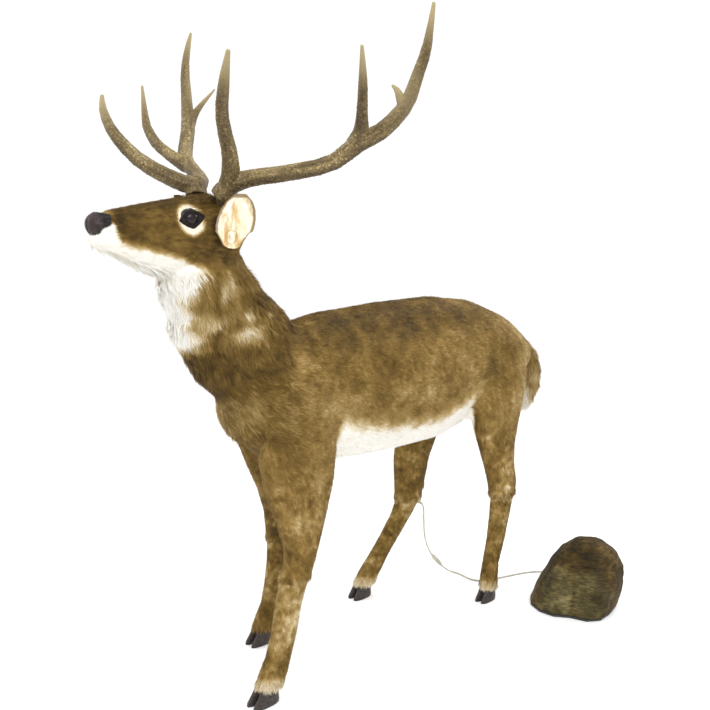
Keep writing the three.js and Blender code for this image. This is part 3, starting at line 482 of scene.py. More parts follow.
def bvh_of(*nodes):
    """One search tree over several CAD nodes."""
    vertices, faces = [], []
    for node in nodes:
        mesh = frame["nodes"][node].data
        start = len(vertices)
        vertices += [v.co.copy() for v in mesh.vertices]
        faces += [[start + i for i in polygon.vertices] for polygon in mesh.polygons]
    return BVHTree.FromPolygons(vertices, faces)


def cap_holes(bm):
    """Closes every hole with a fan of triangles round its middle."""
    rest = {edge for edge in bm.edges if edge.is_boundary}
    while rest:
        loop, reach = [], [rest.pop()]
        while reach:
            edge = reach.pop()
            loop.append(edge)
            near = {e for vertex in edge.verts for e in vertex.link_edges if e in rest}
            rest -= near
            reach.extend(near)
        corners = [vertex.co for edge in loop for vertex in edge.verts]
        middle = bm.verts.new(sum(corners, Vector()) / len(corners))
        for edge in loop:
            bm.faces.new((*edge.verts, middle))


def closed_copy(node, hidden=None, push=None):
    """The outside of a CAD node as one closed mesh: walls on a hidden node go, and holes are filled."""
    bm = bmesh.new()
    bm.from_mesh(frame["nodes"][node].data)
    bmesh.ops.remove_doubles(bm, verts=bm.verts, dist=1e-5)
    if hidden is not None:
        near = 0.0025
        inner = [f for f in bm.faces if hidden.find_nearest(f.calc_center_median(), near)[0] is not None]
        bmesh.ops.delete(bm, geom=inner, context="FACES")
        loose = [v for v in bm.verts if not v.link_faces]
        bmesh.ops.delete(bm, geom=loose, context="VERTS")
        cap_holes(bm)
        bmesh.ops.recalc_face_normals(bm, faces=bm.faces)
    if push is not None:
        for vertex in bm.verts:
            vertex.co += push(vertex.co)
    return link_object(f"{node}_outside", finished_mesh(bm, f"{node}_outside"))


def joined(name, objects):
    """Several meshes as one object. The originals go."""
    bm = bmesh.new()
    for obj in objects:
        bm.from_mesh(obj.data)
        bpy.data.objects.remove(obj)
    return link_object(name, finished_mesh(bm, name))


def voxel_remesh(obj, size):
    modifier = obj.modifiers.new("remesh", "REMESH")
    modifier.mode = "VOXEL"
    modifier.voxel_size = size
    apply_modifiers(obj)
    obj.data.shade_smooth()


def apply_modifiers(obj):
    graph = bpy.context.evaluated_depsgraph_get()
    mesh = bpy.data.meshes.new_from_object(obj.evaluated_get(graph))
    obj.modifiers.clear()
    obj.data = mesh


def relaxed(mesh, points, rounds, factors=(0.5,), weight=1.0):
    """Points moved toward the average of their neighbours, once for each factor in each round."""
    edges = read_rows(mesh.edges, "vertices", 2, np.int32)
    count = len(points)
    degree = np.bincount(edges.ravel(), minlength=count)[:, None].clip(1)
    for _ in range(rounds):
        for factor in factors:
            total = np.stack([
                np.bincount(edges[:, 0], points[edges[:, 1], k], count)
                + np.bincount(edges[:, 1], points[edges[:, 0], k], count) for k in range(3)], 1)
            points = points + weight * factor * (total / degree - points)
    return points


def smooth(obj, rounds, keep_volume=True, weight=None):
    factors = (0.55, -0.57) if keep_volume else (0.5,)
    weight = 1.0 if weight is None else weight[:, None]
    write_points(obj.data, relaxed(obj.data, read_points(obj.data), rounds, factors, weight))


def refined(node, voxel, rounds, hidden=None, push=None):
    """The outside of a CAD node as a fine even mesh, smoothed."""
    obj = closed_copy(node, hidden, push)
    voxel_remesh(obj, voxel)
    smooth(obj, rounds)
    return obj


def keep_faces(obj, wanted):
    """Drops the faces whose middle isn't wanted, given a test on an array of points."""
    bm = bmesh.new()
    bm.from_mesh(obj.data)
    middles = np.array([f.calc_center_median() for f in bm.faces])
    keep = wanted(middles)
    bmesh.ops.delete(bm, geom=[f for f, k in zip(bm.faces, keep) if not k], context="FACES")
    bm.to_mesh(obj.data)
    bm.free()
    obj.data.update()


def dress(obj, material):
    obj.data.materials.clear()
    obj.data.materials.append(material)


def paint_tone(obj, part):
    write_attribute(obj, "tone", coat_tone(read_points(obj.data), part))
    dress(obj, COAT)


def mount(obj, carrier, slot, *nodes):
    """Rides on a body, in place of CAD nodes. The slot is not used."""
    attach(obj, carrier)
    if nodes:
        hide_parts(*nodes)


# ---- strands
def flow_of(points, part):
    """Direction in which the hair lies, before it is laid on the surface."""
    p = points - SHIFT
    level = np.ones((len(points), 1))
    if part == "head":
        face = rise(p[:, 2], 1.07, 1.12)[:, None]
        return level * (0, 1, -0.15) * face + level * (0, 0.35, -0.95) * (1 - face)
    if part == "tail":
        return level * (0, 0.25, -1)
    torso = rise(p[:, 2], 0.50, 0.66)[:, None]
    neck = (rise(neck_height(points), -0.20, -0.02) * (p[:, 1] < NECK_REAR))[:, None]
    lying = level * (0, 0.90, -0.40) * torso + level * (0, 0.15, -1) * (1 - torso)
    return lying * (1 - neck) + level * (0, 0.45, -0.90) * neck


def unit(vectors):
    return vectors / np.linalg.norm(vectors, axis=1, keepdims=True).clip(1e-9)


def scatter(obj, count, weight, rng):
    """Random places on a mesh, spread by area and weight: points and smooth normals."""
    mesh = obj.data
    mesh.calc_loop_triangles()
    corners = read_rows(mesh.loop_triangles, "vertices", 3, np.int32)
    points, normals = read_points(mesh), read_normals(mesh)
    a, b, c = (points[corners[:, k]] for k in range(3))
    area = np.linalg.norm(np.cross(b - a, c - a), axis=1)
    chance = area * weight((a + b + c) / 3)
    chosen = rng.choice(len(corners), count, p=chance / chance.sum())
    u, v = rng.random(count), rng.random(count)
    over = u + v > 1
    u[over], v[over] = 1 - u[over], 1 - v[over]
    share = np.stack([1 - u - v, u, v], 1)[:, :, None]
    picked = corners[chosen]
    return (points[picked] * share).sum(1), unit((normals[picked] * share).sum(1))


def lay_of(roots, normals, part, wild, rng):
    """Unit directions along the skin for the strands to lie in, with swirls."""
    flow = unit(flow_of(roots, part))
    flow = flow + 0.45 * noise_vectors(roots, 0.05, 21) + 0.35 * noise_vectors(roots, 0.018, 26)
    flow += wild * rng.normal(size=roots.shape)
    return unit(flow - (flow * normals).sum(1, keepdims=True) * normals)


def strand_mesh(name, rows, normals, shades):
    """Ribbons from rows of left and right points, root first, that end in one tip each."""
    count = len(normals)
    per = len(rows)
    vertices = np.stack(rows, 1).reshape(-1, 3)
    first = np.arange(count) * per
    if per == 3:
        loops, sizes = [0, 1, 2], [3]
    else:
        loops, sizes = [0, 1, 2, 3, 3, 2, 4], [4, 3]
    loops = (first[:, None] + np.array(loops)).ravel()
    starts = np.cumsum([0] + sizes[:-1])
    starts = (np.arange(count)[:, None] * sum(sizes) + starts).ravel()
    mesh = bpy.data.meshes.new(name)
    mesh.vertices.add(len(vertices))
    mesh.vertices.foreach_set("co", vertices.astype(np.float32).ravel())
    mesh.loops.add(len(loops))
    mesh.loops.foreach_set("vertex_index", loops.astype(np.int32))
    mesh.polygons.add(len(starts))
    mesh.polygons.foreach_set("loop_start", starts.astype(np.int32))
    for material in STRAND_MATERIALS:
        mesh.materials.append(material)
    mesh.polygons.foreach_set("material_index", shades[:, -len(sizes):].ravel().astype(np.int32))
    mesh.update(calc_edges=True)
    mesh.shade_smooth()
    mesh.normals_split_custom_set_from_vertices(np.repeat(normals, per, 0).tolist())
    return link_object(name, mesh)


def grow_strands(name, skin, part, count, length, weight, width, lift, wild=0.13, long=False, seed=0):
    """Hair as flat tapering ribbons: short pile in one piece each, long hair bent in the middle."""
    rng = np.random.default_rng(seed)
    roots, normals = scatter(skin, count, weight, rng)
    flow = lay_of(roots, normals, part, wild, rng)
    lengths = ((length(roots) if callable(length) else length) * rng.uniform(0.6, 1.2, count))[:, None]
    lifts = np.radians(lift) * rng.uniform(0.5, 1.5, count)[:, None]
    start = unit(flow * np.cos(lifts) + normals * np.sin(lifts))
    tilt = np.radians(rng.normal(0, 30, count))[:, None]
    across = unit(np.cross(normals, start)) * np.cos(tilt) + normals * np.sin(tilt)
    half = (0.5 * width * rng.uniform(0.7, 1.3, count))[:, None]
    base = roots - 0.001 * normals
    if long:
        clump = noise_vectors(roots, 0.012, 31)
        end = unit(start + 0.30 * clump - 0.20 * normals + np.array((0, 0, -0.12)))
        middles = roots + 0.5 * lengths * start
        rows = [base + across * half, base - across * half, middles - across * half * 0.8,
                middles + across * half * 0.8, middles + 0.5 * lengths * end]
    else:
        rows = [base + across * half, base - across * half, roots + lengths * start]
    tones = coat_tone(roots, part) + rng.normal(0, 0.055, count)
    shades = np.clip(np.round(np.stack([tones - 0.045, tones + 0.02], 1) * (SHADES - 1)), 0, SHADES - 1)
    shine = unit(normals + 0.35 * across * np.tan(tilt).clip(-1, 1) + 0.30 * flow)
    return strand_mesh(name, rows, shine, shades)


# ---- lead
def curve_piece(name, points, radius, material):
    curve = bpy.data.curves.new(name, "CURVE")
    curve.dimensions = "3D"
    curve.bevel_depth = radius
    curve.bevel_resolution = 3
    curve.resolution_u = 6
    spline = curve.splines.new("BEZIER")
    spline.bezier_points.add(len(points) - 1)
    for handle, point in zip(spline.bezier_points, points):
        handle.co = place(point)
        handle.handle_left_type = handle.handle_right_type = "AUTO"
    curve.materials.append(material)
    return link_object(name, curve)


LEAD_DIAMETER = 0.005
LEAD_UPPER = [
    (-0.126, 0.333, 0.262), (-0.126, 0.336, 0.256), (-0.126, 0.339, 0.250), (-0.127, 0.341, 0.241),
    (-0.127, 0.343, 0.232), (-0.128, 0.344, 0.221), (-0.128, 0.345, 0.210), (-0.128, 0.346, 0.198),
    (-0.128, 0.347, 0.185), (-0.128, 0.348, 0.172), (-0.128, 0.350, 0.160), (-0.127, 0.352, 0.148),
    (-0.127, 0.355, 0.136), (-0.126, 0.359, 0.124), (-0.126, 0.363, 0.112), (-0.125, 0.368, 0.102),
    (-0.124, 0.373, 0.092), (-0.122, 0.384, 0.075)]
LEAD_LOWER = [
    (-0.110, 0.428, 0.024), (-0.104, 0.441, 0.013), (-0.096, 0.451, 0.006), (-0.084, 0.458, 0.0034),
    (-0.066, 0.461, 0.003), (-0.044, 0.459, 0.003), (-0.020, 0.456, 0.003), (0.004, 0.460, 0.003),
    (0.024, 0.476, 0.003), (0.037, 0.502, 0.003), (0.047, 0.534, 0.003), (0.058, 0.572, 0.003),
    (0.070, 0.612, 0.003), (0.084, 0.648, 0.003), (0.104, 0.680, 0.003), (0.129, 0.701, 0.0034),
    (0.158, 0.708, 0.007), (0.186, 0.694, 0.012), (0.209, 0.673, 0.014)]
CORD = two_tone("cord", (156, 153, 134), (188, 186, 168), 0.45, (60, 5), (0.15, 0.0004),
                finer=(900, 2), span=(0.35, 0.7), specular=0.3)


def make_lead():
    upper = curve_piece("lead_from_leg", LEAD_UPPER, LEAD_DIAMETER / 2, CORD)
    lower = curve_piece("lead_to_rock", LEAD_LOWER, LEAD_DIAMETER / 2, CORD)
    mount(upper, ROOT, "cord", "lead_upper")
    mount(lower, ROOT, "cord", "lead_lower")
    for node in ("lead_socket", "lead_plug", "hock_grommet", "rock_gland"):
        dress(frame["nodes"][node], CORD)


make_lead()


# ---- body, neck and head skins
HIDDEN = bvh_of("torso_form_left", "torso_form_right", "neck_form", "head_form", "eye_left", "eye_right",
                *[f"{leg}_leg_tube" for leg in LEGS], *[f"{leg}_leg_rod" for leg in LEGS])


SEAM_BAND, SEAM_REACH = 0.0045, 0.009    # how near the cut a point moves, and how far
LEG_TOP = 0.46                           # below this height the skins are those of the legs


def close_seam(sign):
    """Pushes the neck's open end across the seam, so that body and head run into each other."""
    reach = Vector(NECK_AXIS) * SEAM_REACH * sign

    def push(point):
        at_seam = abs(float(neck_height(np.array(point)))) < SEAM_BAND
        return reach if at_seam else Vector((0, 0, 0))
    return push


def swell(obj, distance):
    """Grows a mesh along its normals, or shrinks it where the distance is below 0. Leg ends stay."""
    points, normals = read_points(obj.data), read_normals(obj.data)
    in_leg = points[:, 2] < LEG_TOP
    share = np.where(in_leg, 1 - np.abs(normals[:, 2]), 1)
    write_points(obj.data, points + distance * normals * share[:, None])


def body_skin():
    torso = refined("torso_pelt", 0.010, 60, HIDDEN, close_seam(1))
    head = refined("head_pelt", 0.008, 12, HIDDEN, close_seam(-1))
    limbs = [refined(f"{leg}_upper_leg", 0.006, 10, HIDDEN) for leg in LEGS]
    limbs.append(refined("tail", 0.006, 10))
    for limb in limbs:
        swell(limb, 0.002)
    skin = joined("skin", [torso, head, *limbs])
    voxel_remesh(skin, 0.0075)
    points = read_points(skin.data) - SHIFT
    y, z = points[:, 1], points[:, 2]
    shoulder = rise(z, 0.52, 0.64) * fall(np.abs(y + 0.38), 0.20, 0.26)
    hip = rise(z, 0.56, 0.66) * fall(np.abs(y - 0.42), 0.17, 0.22)
    smooth(skin, 14, keep_volume=False, weight=np.clip(shoulder + hip, 0, 1))
    smooth(skin, 14)
    swell(skin, -PILE)
    return skin


def part_of(skin, name, part, test):
    piece = link_object(name, skin.data.copy())
    keep_faces(piece, test)
    paint_tone(piece, part)
    return piece


def at_collar(points):
    return (np.abs(neck_height(points)) <= COLLAR) & (points[:, 1] < SHIFT[1] + NECK_REAR)


def below_collar(points):
    return (neck_height(points) < -COLLAR) | (points[:, 1] > SHIFT[1] + NECK_REAR)


def is_tail(p):
    """True on the tail, from points of the model's own frame."""
    return (p[:, 1] > 0.652) & (p[:, 2] < 0.80)


skin = body_skin()
body = part_of(skin, "body_skin", "body", below_collar)
collar = part_of(skin, "collar_skin", "collar", at_collar)
bpy.data.objects.remove(skin)


def head_skin():
    head = refined("head_pelt", 0.004, 40, HIDDEN, close_seam(-1))
    swell(head, -PILE)
    keep_faces(head, lambda m: neck_height(m) > COLLAR - 0.003)
    head.name = "head_skin"
    paint_tone(head, "head")
    return head


head = head_skin()
mount(body, ROOT, "fur", "torso_pelt", "tail", *[f"{leg}_upper_leg" for leg in LEGS])
mount(head, NECK, "fur", "head_pelt")


# ---- lower legs and hooves
def lower_leg(leg):
    skin = refined(f"{leg}_lower_leg", 0.004, 20, HIDDEN)
    swell(skin, -PILE)
    skin.name = f"{leg}_shin_skin"
    paint_tone(skin, "leg")
    mount(skin, ROOT, "fur", f"{leg}_lower_leg")
    return skin


shins = [lower_leg(leg) for leg in LEGS]


HORN = two_tone("hoof", (36, 31, 30), (68, 60, 56), 0.42, (55, 4, (1, 1, 6)), (0.35, 0.0015),
                specular=0.25)


def make_hoof(leg):
    obj = refined(f"{leg}_hoof", 0.0018, 12)
    obj.name = f"{leg}_hoof_horn"
    dress(obj, HORN)
    mount(obj, ROOT, "hoof", f"{leg}_hoof")


for leg in LEGS:
    make_hoof(leg)


# ---- fur
def chest_share(p):
    """1 on the chest and round the foot of the neck, where the hair is long, and 0 on the trunk."""
    chest = rise(-p[:, 1], 0.40, 0.47) * rise(p[:, 2], 0.64, 0.74)
    foot = rise(neck_height(p + SHIFT), -0.13, -0.07) * (p[:, 1] < NECK_REAR)
    return np.maximum(chest, foot)


def trunk_length(points):
    """Length of the pile, a little shorter on the legs."""
    return 0.012 - 0.003 * fall((points - SHIFT)[:, 2], 0.45, 0.60)


def throat_share(p):
    """1 under the jaw and down the throat, and 0 on the face."""
    return fall(p[:, 2] + 0.35 * np.clip(p[:, 1] + 0.72, -1, 0), 1.045, 1.100)


def cuff_share(p):
    return fall(p[:, 2], 0.052, 0.075)


def knee_share(p):
    """1 at the foot of each upper leg, where the hair hangs over the seam."""
    return bell(p[:, 2] - knee_height(p) - 0.008, 0.009)


def crown_share(p):
    """1 round the roots of the antlers and the ears."""
    near_ear = np.exp(-(((p[:, 1] + 0.600) / 0.030) ** 2 + ((p[:, 2] - 1.165) / 0.035) ** 2))
    top = rise(p[:, 2], 1.222, 1.240) * bell(p[:, 1] + 0.600, 0.045)
    return np.maximum(near_ear, top)


def spared(p):
    """0 round the eyes, so that no hair covers them."""
    far = np.ones(len(p))
    for eye in EYES.values():
        offset = (p + SHIFT - np.array(eye)) / np.array((0.05, 0.031, 0.023))
        far *= np.linalg.norm(offset, axis=1) > 1
    return far


# A strand's width in metres, and how far it stands off the skin in degrees.
PLUSH = dict(width=0.0015, lift=15)
HAIR = dict(width=0.0013, lift=20, long=True)


def fur(name, skin, part, count, length, test, carrier=ROOT, **style):
    """Strands where a test on points of the model's own frame says, riding on a body."""
    piece = grow_strands(name, skin, part, count, length,
                         lambda middles: np.asarray(test(middles - SHIFT), dtype=float), **style)
    if carrier:
        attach(piece, carrier)
    return piece


def make_fur():
    fur("front_fur", body, "body", 130000, trunk_length,
        lambda p: (p[:, 1] < 0) * (1 - 0.8 * chest_share(p)), seed=40, **PLUSH)
    fur("rear_fur", body, "body", 130000, trunk_length,
        lambda p: (p[:, 1] >= 0) * (1 - is_tail(p)), seed=50, **PLUSH)
    fur("chest_fur", body, "body", 24000, 0.026, chest_share, seed=55, **HAIR)
    fur("tail_fur", body, "tail", 9000, 0.032, is_tail, seed=60, **HAIR)
    fur("face_fur", head, "head", 110000, 0.007,
        lambda p: (1 - 0.7 * throat_share(p)) * spared(p), NECK, seed=70, width=0.0011, lift=14)
    fur("throat_fur", head, "head", 26000, 0.030, throat_share, NECK, seed=75, **HAIR)
    fur("crown_fur", head, "head", 5000, 0.016, crown_share, NECK, seed=78, **HAIR)
    fur("knee_fur", body, "body", 7000, 0.016, knee_share, seed=65, **HAIR)
    for i, (leg, shin) in enumerate(zip(LEGS, shins)):
        fur(f"{leg}_shin_fur", shin, "leg", 22000, 0.008, lambda p: p[:, 2] > 0, seed=80 + i, **PLUSH)
        fur(f"{leg}_cuff_fur", shin, "leg", 1800, 0.017, cuff_share, seed=90 + i, **HAIR)


make_fur()
ruff = fur("collar_fur", collar, "collar", 30000, 0.027, lambda p: p[:, 2] > 0, None, seed=95, **HAIR)
for piece in (collar, ruff):
    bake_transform(piece)


# ---- antlers
# The ends of the beam and the tines, which are polished pale.
ANTLER_TIPS = {
    "left": [(0.446, -0.329, 1.676), (0.238, -0.711, 1.556), (0.410, -0.503, 1.573),
             (0.340, -0.340, 1.511)],
    "right": [(-0.455, -0.331, 1.698), (-0.265, -0.716, 1.492), (-0.430, -0.505, 1.540),
              (-0.345, -0.329, 1.541)]}


def antler_material():
    """Brown antler with long pale ridges between dark grooves, and pale tips. Painted shade: each branch is
    lighter on top and darker underneath.
    """
    material, tree = new_material("antler", linear(110, 95, 64), 0.55, specular=0.3)
    speckle = noise_node(tree, 380, 3, roughness=0.6)
    # The ridge value also holds painted shade: lighter on the top of each branch, darker underneath.
    ridges_and_painted_shade = shifted(tree, speckle, 1.10, -0.55, painted(tree, "ridge"))
    color = ramp_node(tree, ridges_and_painted_shade, [
        (0.10, linear(54, 42, 22)), (0.42, linear(92, 76, 45)), (0.62, linear(124, 107, 70)),
        (0.90, linear(176, 160, 118))])
    color = mix_node(tree, painted(tree, "tip"), color, linear(188, 171, 128))
    set_color(tree, color)
    add_bump(tree, speckle, 0.4, 0.0012)
    return material


ANTLER = antler_material()


def nearest_tip(points, side):
    gaps = [np.linalg.norm(points - np.array(place(tip)), axis=1) for tip in ANTLER_TIPS[side]]
    return np.min(gaps, axis=0)


def make_antler(side):
    obj = refined(f"antler_{side}", 0.0019, 40)
    points, normals = read_points(obj.data), read_normals(obj.data)
    core = relaxed(obj.data, points, 150)                # each branch shrunk to its middle line
    around = (points - core) / 0.0030 + core / 0.060
    ridge = 0.8 * lattice_noise(around, 1.0, 5) + 0.3 * lattice_noise(points, 0.0040, 6)
    pearls = np.maximum(lattice_noise(points, 0.0032, 7), 0)
    from_tip = nearest_tip(points, side)
    rough = rise(from_tip, 0.03, 0.14)
    write_points(obj.data, points + normals * ((0.0010 * ridge + 0.0012 * pearls) * rough)[:, None])
    # Painted shade: the tone rises where the surface faces up and falls where it faces down.
    tone = 0.36 + (0.26 * ridge + 0.34 * pearls) * (0.35 + 0.65 * rough) + 0.14 * normals[:, 2]
    write_attribute(obj, "ridge", tone)
    write_attribute(obj, "tip", 0.50 * fall(from_tip, 0.005, 0.110))
    obj.name = f"{side}_antler"
    dress(obj, ANTLER)
    mount(obj, NECK, "antler", f"antler_{side}")


for side in SIDES:
    make_antler(side)


# ---- ears
def ear_material():
    """Cream inside with golden veins, and a thin brown rim and back."""
    material, tree = new_material("ear", linear(216, 204, 176), 0.8, specular=0.1)
    warmth = noise_node(tree, 34, 4, (1.6, 1.6, 0.40), 0.6)
    inside = ramp_node(tree, warmth, [
        (0.34, linear(240, 232, 218)), (0.50, linear(226, 211, 186)), (0.60, linear(198, 172, 126)),
        (0.72, linear(166, 132, 80))])
    outside = ramp_node(tree, noise_node(tree, 70, 4), [
        (0.3, linear(84, 66, 32)), (0.7, linear(124, 100, 54))])
    color = mix_node(tree, painted(tree, "back"), inside, outside)
    set_color(tree, color)
    add_bump(tree, noise_node(tree, 500, 3), 0.4, 0.0012)
    return material


EAR = ear_material()


def rim_share(height, across, points):
    """1 along the ear's edge and 0 inside it, from how far across the ear reaches at each height."""
    step = np.floor((height - height.min()) / 0.003).astype(int)
    low, high = (np.zeros(step.max() + 1) for _ in range(2))
    np.minimum.at(low, step, across)
    np.maximum.at(high, step, across)
    gap = np.minimum(high[step] - across, across - low[step]) + 0.001 * lattice_noise(points, 0.012, 81)
    gap = np.minimum(gap, 0.7 * (height.max() - height))
    return fall(gap, 0.0045, 0.0080)


def make_ear(side, sign):
    """The ear with its foot rounded off and a fold down its middle."""
    obj = refined(f"ear_{side}", 0.0022, 14)
    points, normals = read_points(obj.data), read_normals(obj.data)
    facing = np.array((0.85 * sign, -0.53, 0))
    p = points - SHIFT
    across = p[:, 0] * sign * 0.53 + p[:, 1] * 0.85 + 0.457
    foot = fall(p[:, 2], 1.146, 1.190)
    fold = bell(across + 0.006, 0.005) * rise(p[:, 2], 1.15, 1.18)
    fold *= fall(p[:, 2], 1.22, 1.25)
    front = rise(normals @ facing, 0.3, 0.7)
    rim = rim_share(p[:, 2], across, points)
    points[:, 2] += foot * np.minimum(16 * across ** 2, 0.024)
    if sign < 0:
        points[:, 2] -= 0.008 * rise(p[:, 2], 1.20, 1.26)       # the far ear stands a little lower
    write_points(obj.data, points + (0.005 * fold * front)[:, None] * facing)
    back = np.maximum(fall(normals @ facing, 0.10, 0.65), 0.85 * rim)
    write_attribute(obj, "back", back)
    obj.name = f"{side}_ear"
    dress(obj, EAR)
    mount(obj, NECK, "ear_fur", f"ear_{side}")


for side, sign in SIDES.items():
    make_ear(side, sign)


# ---- nose and eyes
def nose_material():
    material, tree = new_material("nose", linear(34, 27, 28), 0.30, specular=0.20)
    cells = tree.nodes.new("ShaderNodeTexVoronoi")
    cells.inputs["Scale"].default_value = 420
    coordinates = tree.nodes.new("ShaderNodeTexCoord")
    tree.links.new(coordinates.outputs["Object"], cells.inputs["Vector"])
    color = ramp_node(tree, noise_node(tree, 60, 3), [
        (0.3, linear(34, 26, 27)), (0.7, linear(62, 50, 50))])
    # Painted shade: the nostril dents and the back of the pad go near black.
    color = mix_node(tree, painted(tree, "nostril_and_pad_shade"), color, linear(18, 13, 14))
    set_color(tree, color)
    add_bump(tree, cells.outputs["Distance"], 0.5, 0.0012)
    return material


NOSTRIL, NOSTRIL_RADII = (0.023, -0.876, 1.208), (0.012, 0.012, 0.0055)


def make_nose():
    """The nose pad, with a long dent for each nostril and a groove down its middle. The dents and the back of the
    pad are painted darker: painted shade.
    """
    obj = refined("nose", 0.0014, 16)
    points, normals = read_points(obj.data), read_normals(obj.data)
    p = points - SHIFT
    dent = np.zeros(len(points))
    for sign in (1, -1):
        offset = (p * (sign, 1, 1) - NOSTRIL) / NOSTRIL_RADII
        dent += np.exp(-(offset ** 2).sum(1))
    groove = bell(p[:, 0], 0.0025) * fall(p[:, 1], -0.895, -0.880)
    write_points(obj.data, points - normals * (0.006 * dent + 0.002 * groove)[:, None])
    # The back of the pad is painted darker, as are the nostril dents: painted shade.
    pad_back_shade = 0.75 * rise(p[:, 1], -0.892, -0.880)
    write_attribute(obj, "nostril_and_pad_shade", np.maximum(np.minimum(dent, 1), pad_back_shade))
    obj.name = "nose_pad"
    dress(obj, nose_material())
    mount(obj, NECK, "hoof", "nose")


make_nose()


EYE = two_tone("eye_glass", (8, 6, 6), (30, 20, 15), 0.05, (40, 2), None, span=(0.3, 0.8), specular=0.35)
LID = two_tone("eyelid", (18, 14, 14), (38, 32, 31), 0.5, (240, 4), (0.5, 0.0008), specular=0.08)
LID_OUTER = (0.032, 0.023)           # half width and half height of the diamond on the face
LID_INNER = (0.0155, 0.0105)         # the same of the almond opening


def make_ball(side, eye, radius):
    bm = bmesh.new()
    bmesh.ops.create_uvsphere(bm, u_segments=48, v_segments=32, radius=radius)
    mesh = finished_mesh(bm, f"{side}_eyeball")
    mesh.transform(Matrix.Translation(eye))
    mesh.shade_smooth()
    ball = link_object(f"{side}_eyeball", mesh)
    dress(ball, EYE)
    mount(ball, NECK, "eye", f"eye_{side}")


def lid_point(eye, sign, radius, surface, angle, inward):
    """One point of a lid: from an outer diamond on the face to an inner almond on the ball."""
    c, s = math.cos(angle), math.sin(angle)
    outward = 1 - inward
    corner = (abs(c) ** 1.25 + abs(s) ** 1.25) ** (-1 / 1.25)
    wide = LID_OUTER[0] * outward * corner + LID_INNER[0] * inward
    tall = LID_OUTER[1] * outward * corner + LID_INNER[1] * inward
    y = eye.y + wide * c + 0.0025 * outward
    z = eye.z + tall * s + 0.16 * (y - eye.y) * outward
    hit = surface.ray_cast(Vector((eye.x + sign * 0.1, y, z)), Vector((-sign, 0, 0)), 0.2)[0]
    on_face = (hit.x if hit else eye.x + sign * 0.01) * sign
    reach = max(radius ** 2 - (y - eye.y) ** 2 - (z - eye.z) ** 2, 0) ** 0.5
    on_ball = eye.x * sign + reach + 0.0006
    thickness = 0.0045 * math.sin(math.pi * inward) + 0.0012
    x = max(on_face + thickness, on_ball) if inward < 0.98 else on_ball
    return sign * x, y, z


def make_lid(side, sign, eye, radius, surface):
    steps, rings = 48, 7
    vertices = [lid_point(eye, sign, radius, surface, 2 * math.pi * i / steps, j / (rings - 1))
                for i in range(steps) for j in range(rings)]
    faces = []
    for i in range(steps):
        for j in range(rings - 1):
            a, b = i * rings + j, ((i + 1) % steps) * rings + j
            faces.append((a, b, b + 1, a + 1) if sign > 0 else (a, a + 1, b + 1, b))
    lid = mesh_object(f"{side}_eyelid", vertices, faces)
    dress(lid, LID)
    mount(lid, NECK, "hoof")


def make_eye(side, sign):
    """A glass ball and the dark lid round it."""
    low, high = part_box(f"eye_{side}")
    radius = (high.z - low.z) / 2
    surface = BVHTree.FromPolygons([v.co for v in head.data.vertices],
                                   [polygon.vertices for polygon in head.data.polygons])
    make_ball(side, EYES[sign], radius)
    make_lid(side, sign, EYES[sign], radius, surface)


for side, sign in SIDES.items():
    make_eye(side, sign)


# ---- rock
def rock_material():
    """Moulded stone look: mossy in the lobes and brown at the rim, with level scratches. The darker brown also
    holds painted shade on the sides turned from the camera and in the crease.
    """
    material, tree = new_material("stone_look", linear(104, 92, 62), 0.7, specular=0.15)
    broad = noise_node(tree, 14, 6, roughness=0.6)
    mossy = ramp_node(tree, broad, [
        (0.32, linear(52, 46, 24)), (0.50, linear(88, 79, 47)), (0.68, linear(128, 117, 78))])
    brown = ramp_node(tree, broad, [
        (0.32, linear(42, 32, 12)), (0.50, linear(70, 55, 23)), (0.68, linear(108, 87, 46))])
    # The rim value is partly brown colour and partly painted shade on the sides and in the crease.
    color = mix_node(tree, painted(tree, "rim"), mossy, brown)
    scratches = noise_node(tree, 90, 6, (0.45, 0.45, 2.4), 0.65)
    dark = ramp_node(tree, scratches, [(0.38, (0.18, 0.16, 0.12, 1)), (0.60, (1, 1, 1, 1))])
    color = mix_node(tree, 0.75, color, dark, "MULTIPLY")
    set_color(tree, color)
    add_bump(tree, scratches, 0.6, 0.004)
    return material


ROCK = rock_material()
ROCK_CENTRE, ROCK_HEIGHT = (0.310, 0.572), 0.208
CREASE = -0.97                       # direction of the crease from the rock's centre, in radians


def rock_relief(p, points):
    """How far the moulded surface stands out, in metres: facets, grit and two lobes by the crease."""
    angle = np.arctan2(p[:, 1] - ROCK_CENTRE[1], p[:, 0] - ROCK_CENTRE[0])
    height = p[:, 2] / ROCK_HEIGHT
    lobes = sum(bell(angle - CREASE - turn, 0.34) for turn in (-0.50, 0.52))
    relief = 0.009 * lobes * bell(height - 0.42, 0.28)
    relief += 0.004 * np.abs(lattice_noise(points, 0.070, 71)) + 0.0015 * lattice_noise(points, 0.028, 72)
    return relief + 0.0008 * lattice_noise(points, 0.011, 73)


def brown_and_shade_share(p, points):
    """0 in the mossy lobes at the front and 1 at the rim, the top and the sides. The top is brown colour; the
    brown on the sides turned from the camera and in the crease is painted shade.
    """
    angle = np.arctan2(p[:, 1] - ROCK_CENTRE[1], p[:, 0] - ROCK_CENTRE[0])
    stain = 0.3 * lattice_noise(points, 0.035, 74)
    # Painted shade: the sides turned away from the camera and the crease take the darker brown.
    side = rise(np.abs(angle - CREASE + 0.1) + stain, 0.55, 0.95)
    crease = 0.8 * bell(angle - CREASE + 0.3 * stain, 0.07)
    return np.maximum.reduce([side, crease, rise(p[:, 2] + 0.06 * stain, 0.115, 0.150)])


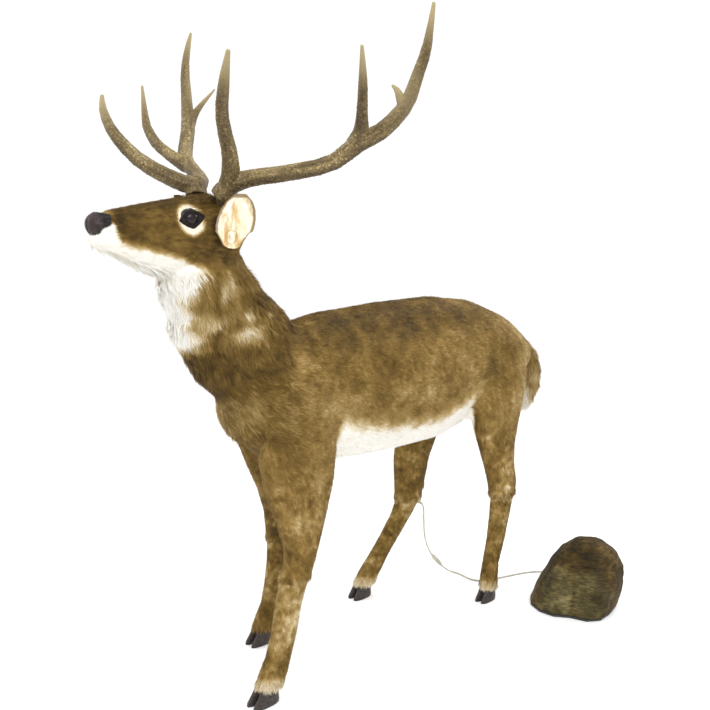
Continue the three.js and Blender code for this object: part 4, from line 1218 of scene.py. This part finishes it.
def make_rock():
    obj = refined("rock_shell", 0.0035, 6)
    points, normals = read_points(obj.data), read_normals(obj.data)
    p = points - SHIFT
    outward = unit(p - (ROCK_CENTRE[0], ROCK_CENTRE[1], 0.06))
    outside = rise((normals * outward).sum(1), 0.2, 0.5)
    panel = (np.abs(p[:, 0] - ROCK_CENTRE[0]) < 0.095) & (p[:, 2] < 0.09)
    panel &= p[:, 1] > ROCK_CENTRE[1] + 0.03             # the recess at the back stays plain
    relief = rock_relief(p, points) * outside * ~panel * rise(p[:, 2], 0.012, 0.03)
    write_points(obj.data, points + normals * relief[:, None])
    # The rim value: brown colour at the top, painted shade on the sides and in the crease.
    write_attribute(obj, "rim", brown_and_shade_share(p, points))
    obj.name = "rock_cover"
    dress(obj, ROCK)
    mount(obj, ROOT, "stone_look", "rock_shell")


make_rock()


# ---- forms, metal parts and the switch
def plastic(name, dark, light, roughness):
    return two_tone(name, dark, light, roughness, (90, 4), (0.2, 0.0003), finer=(1400, 2))


def metal(name, dark, light):
    return two_tone(name, dark, light, 0.35, (120, 4, (1, 1, 8)), (0.1, 0.0003), metallic=1)


SLOT_MATERIALS = {
    "moulded_form": plastic("moulded_form", (62, 62, 60), (84, 84, 80), 0.6),
    "steel": metal("steel", (120, 122, 126), (160, 162, 166)),
    "brass": metal("brass", (150, 118, 66), (190, 156, 96)),
    "board": plastic("board", (24, 66, 38), (40, 92, 56), 0.5),
    "dark_plastic": plastic("dark_plastic", (34, 33, 31), (52, 50, 46), 0.5),
    "rocker_red": plastic("rocker_red", (132, 30, 22), (168, 44, 32), 0.3),
}
for entry in frame["record"]["subparts"]:
    if entry["material_slot"] in SLOT_MATERIALS:
        dress(frame["nodes"][entry["node"]], SLOT_MATERIALS[entry["material_slot"]])


# ---- floor and light
FLOOR_REACH = 40
LAMPS = [((2.6, -1.6, 3.4), 2.4, 90), ((-2.2, -2.6, 2.6), 2.6, 45), ((0.5, 3.0, 3.2), 2.6, 50)]


def make_stage():
    """A white floor and sky, and three square lamps, each with its place, size and power."""
    corners = [(x * FLOOR_REACH, y * FLOOR_REACH, 0) for x, y in ((-1, -1), (1, -1), (1, 1), (-1, 1))]
    floor = mesh_object("floor", corners, [(0, 1, 2, 3)], smooth=False)
    dress(floor, new_material("floor", (0.97, 0.97, 0.97, 1), 0.9, specular=0)[0])
    world = bpy.data.worlds.new("studio")
    world.use_nodes = True
    world.node_tree.nodes["Background"].inputs["Color"].default_value = (1, 1, 1, 1)
    world.node_tree.nodes["Background"].inputs["Strength"].default_value = 1.05
    bpy.context.scene.world = world
    bpy.context.scene.view_settings.view_transform = "Standard"
    for i, (position, size, power) in enumerate(LAMPS):
        data = bpy.data.lights.new(f"softbox_{i}", "AREA")
        data.size, data.energy = size, power
        aim = Vector(position) - Vector((0, 0, 0.8))
        turn = aim.to_track_quat("Z", "Y").to_matrix().to_4x4()
        link_object(f"softbox_{i}", data).matrix_world = Matrix.Translation(position) @ turn


make_stage()
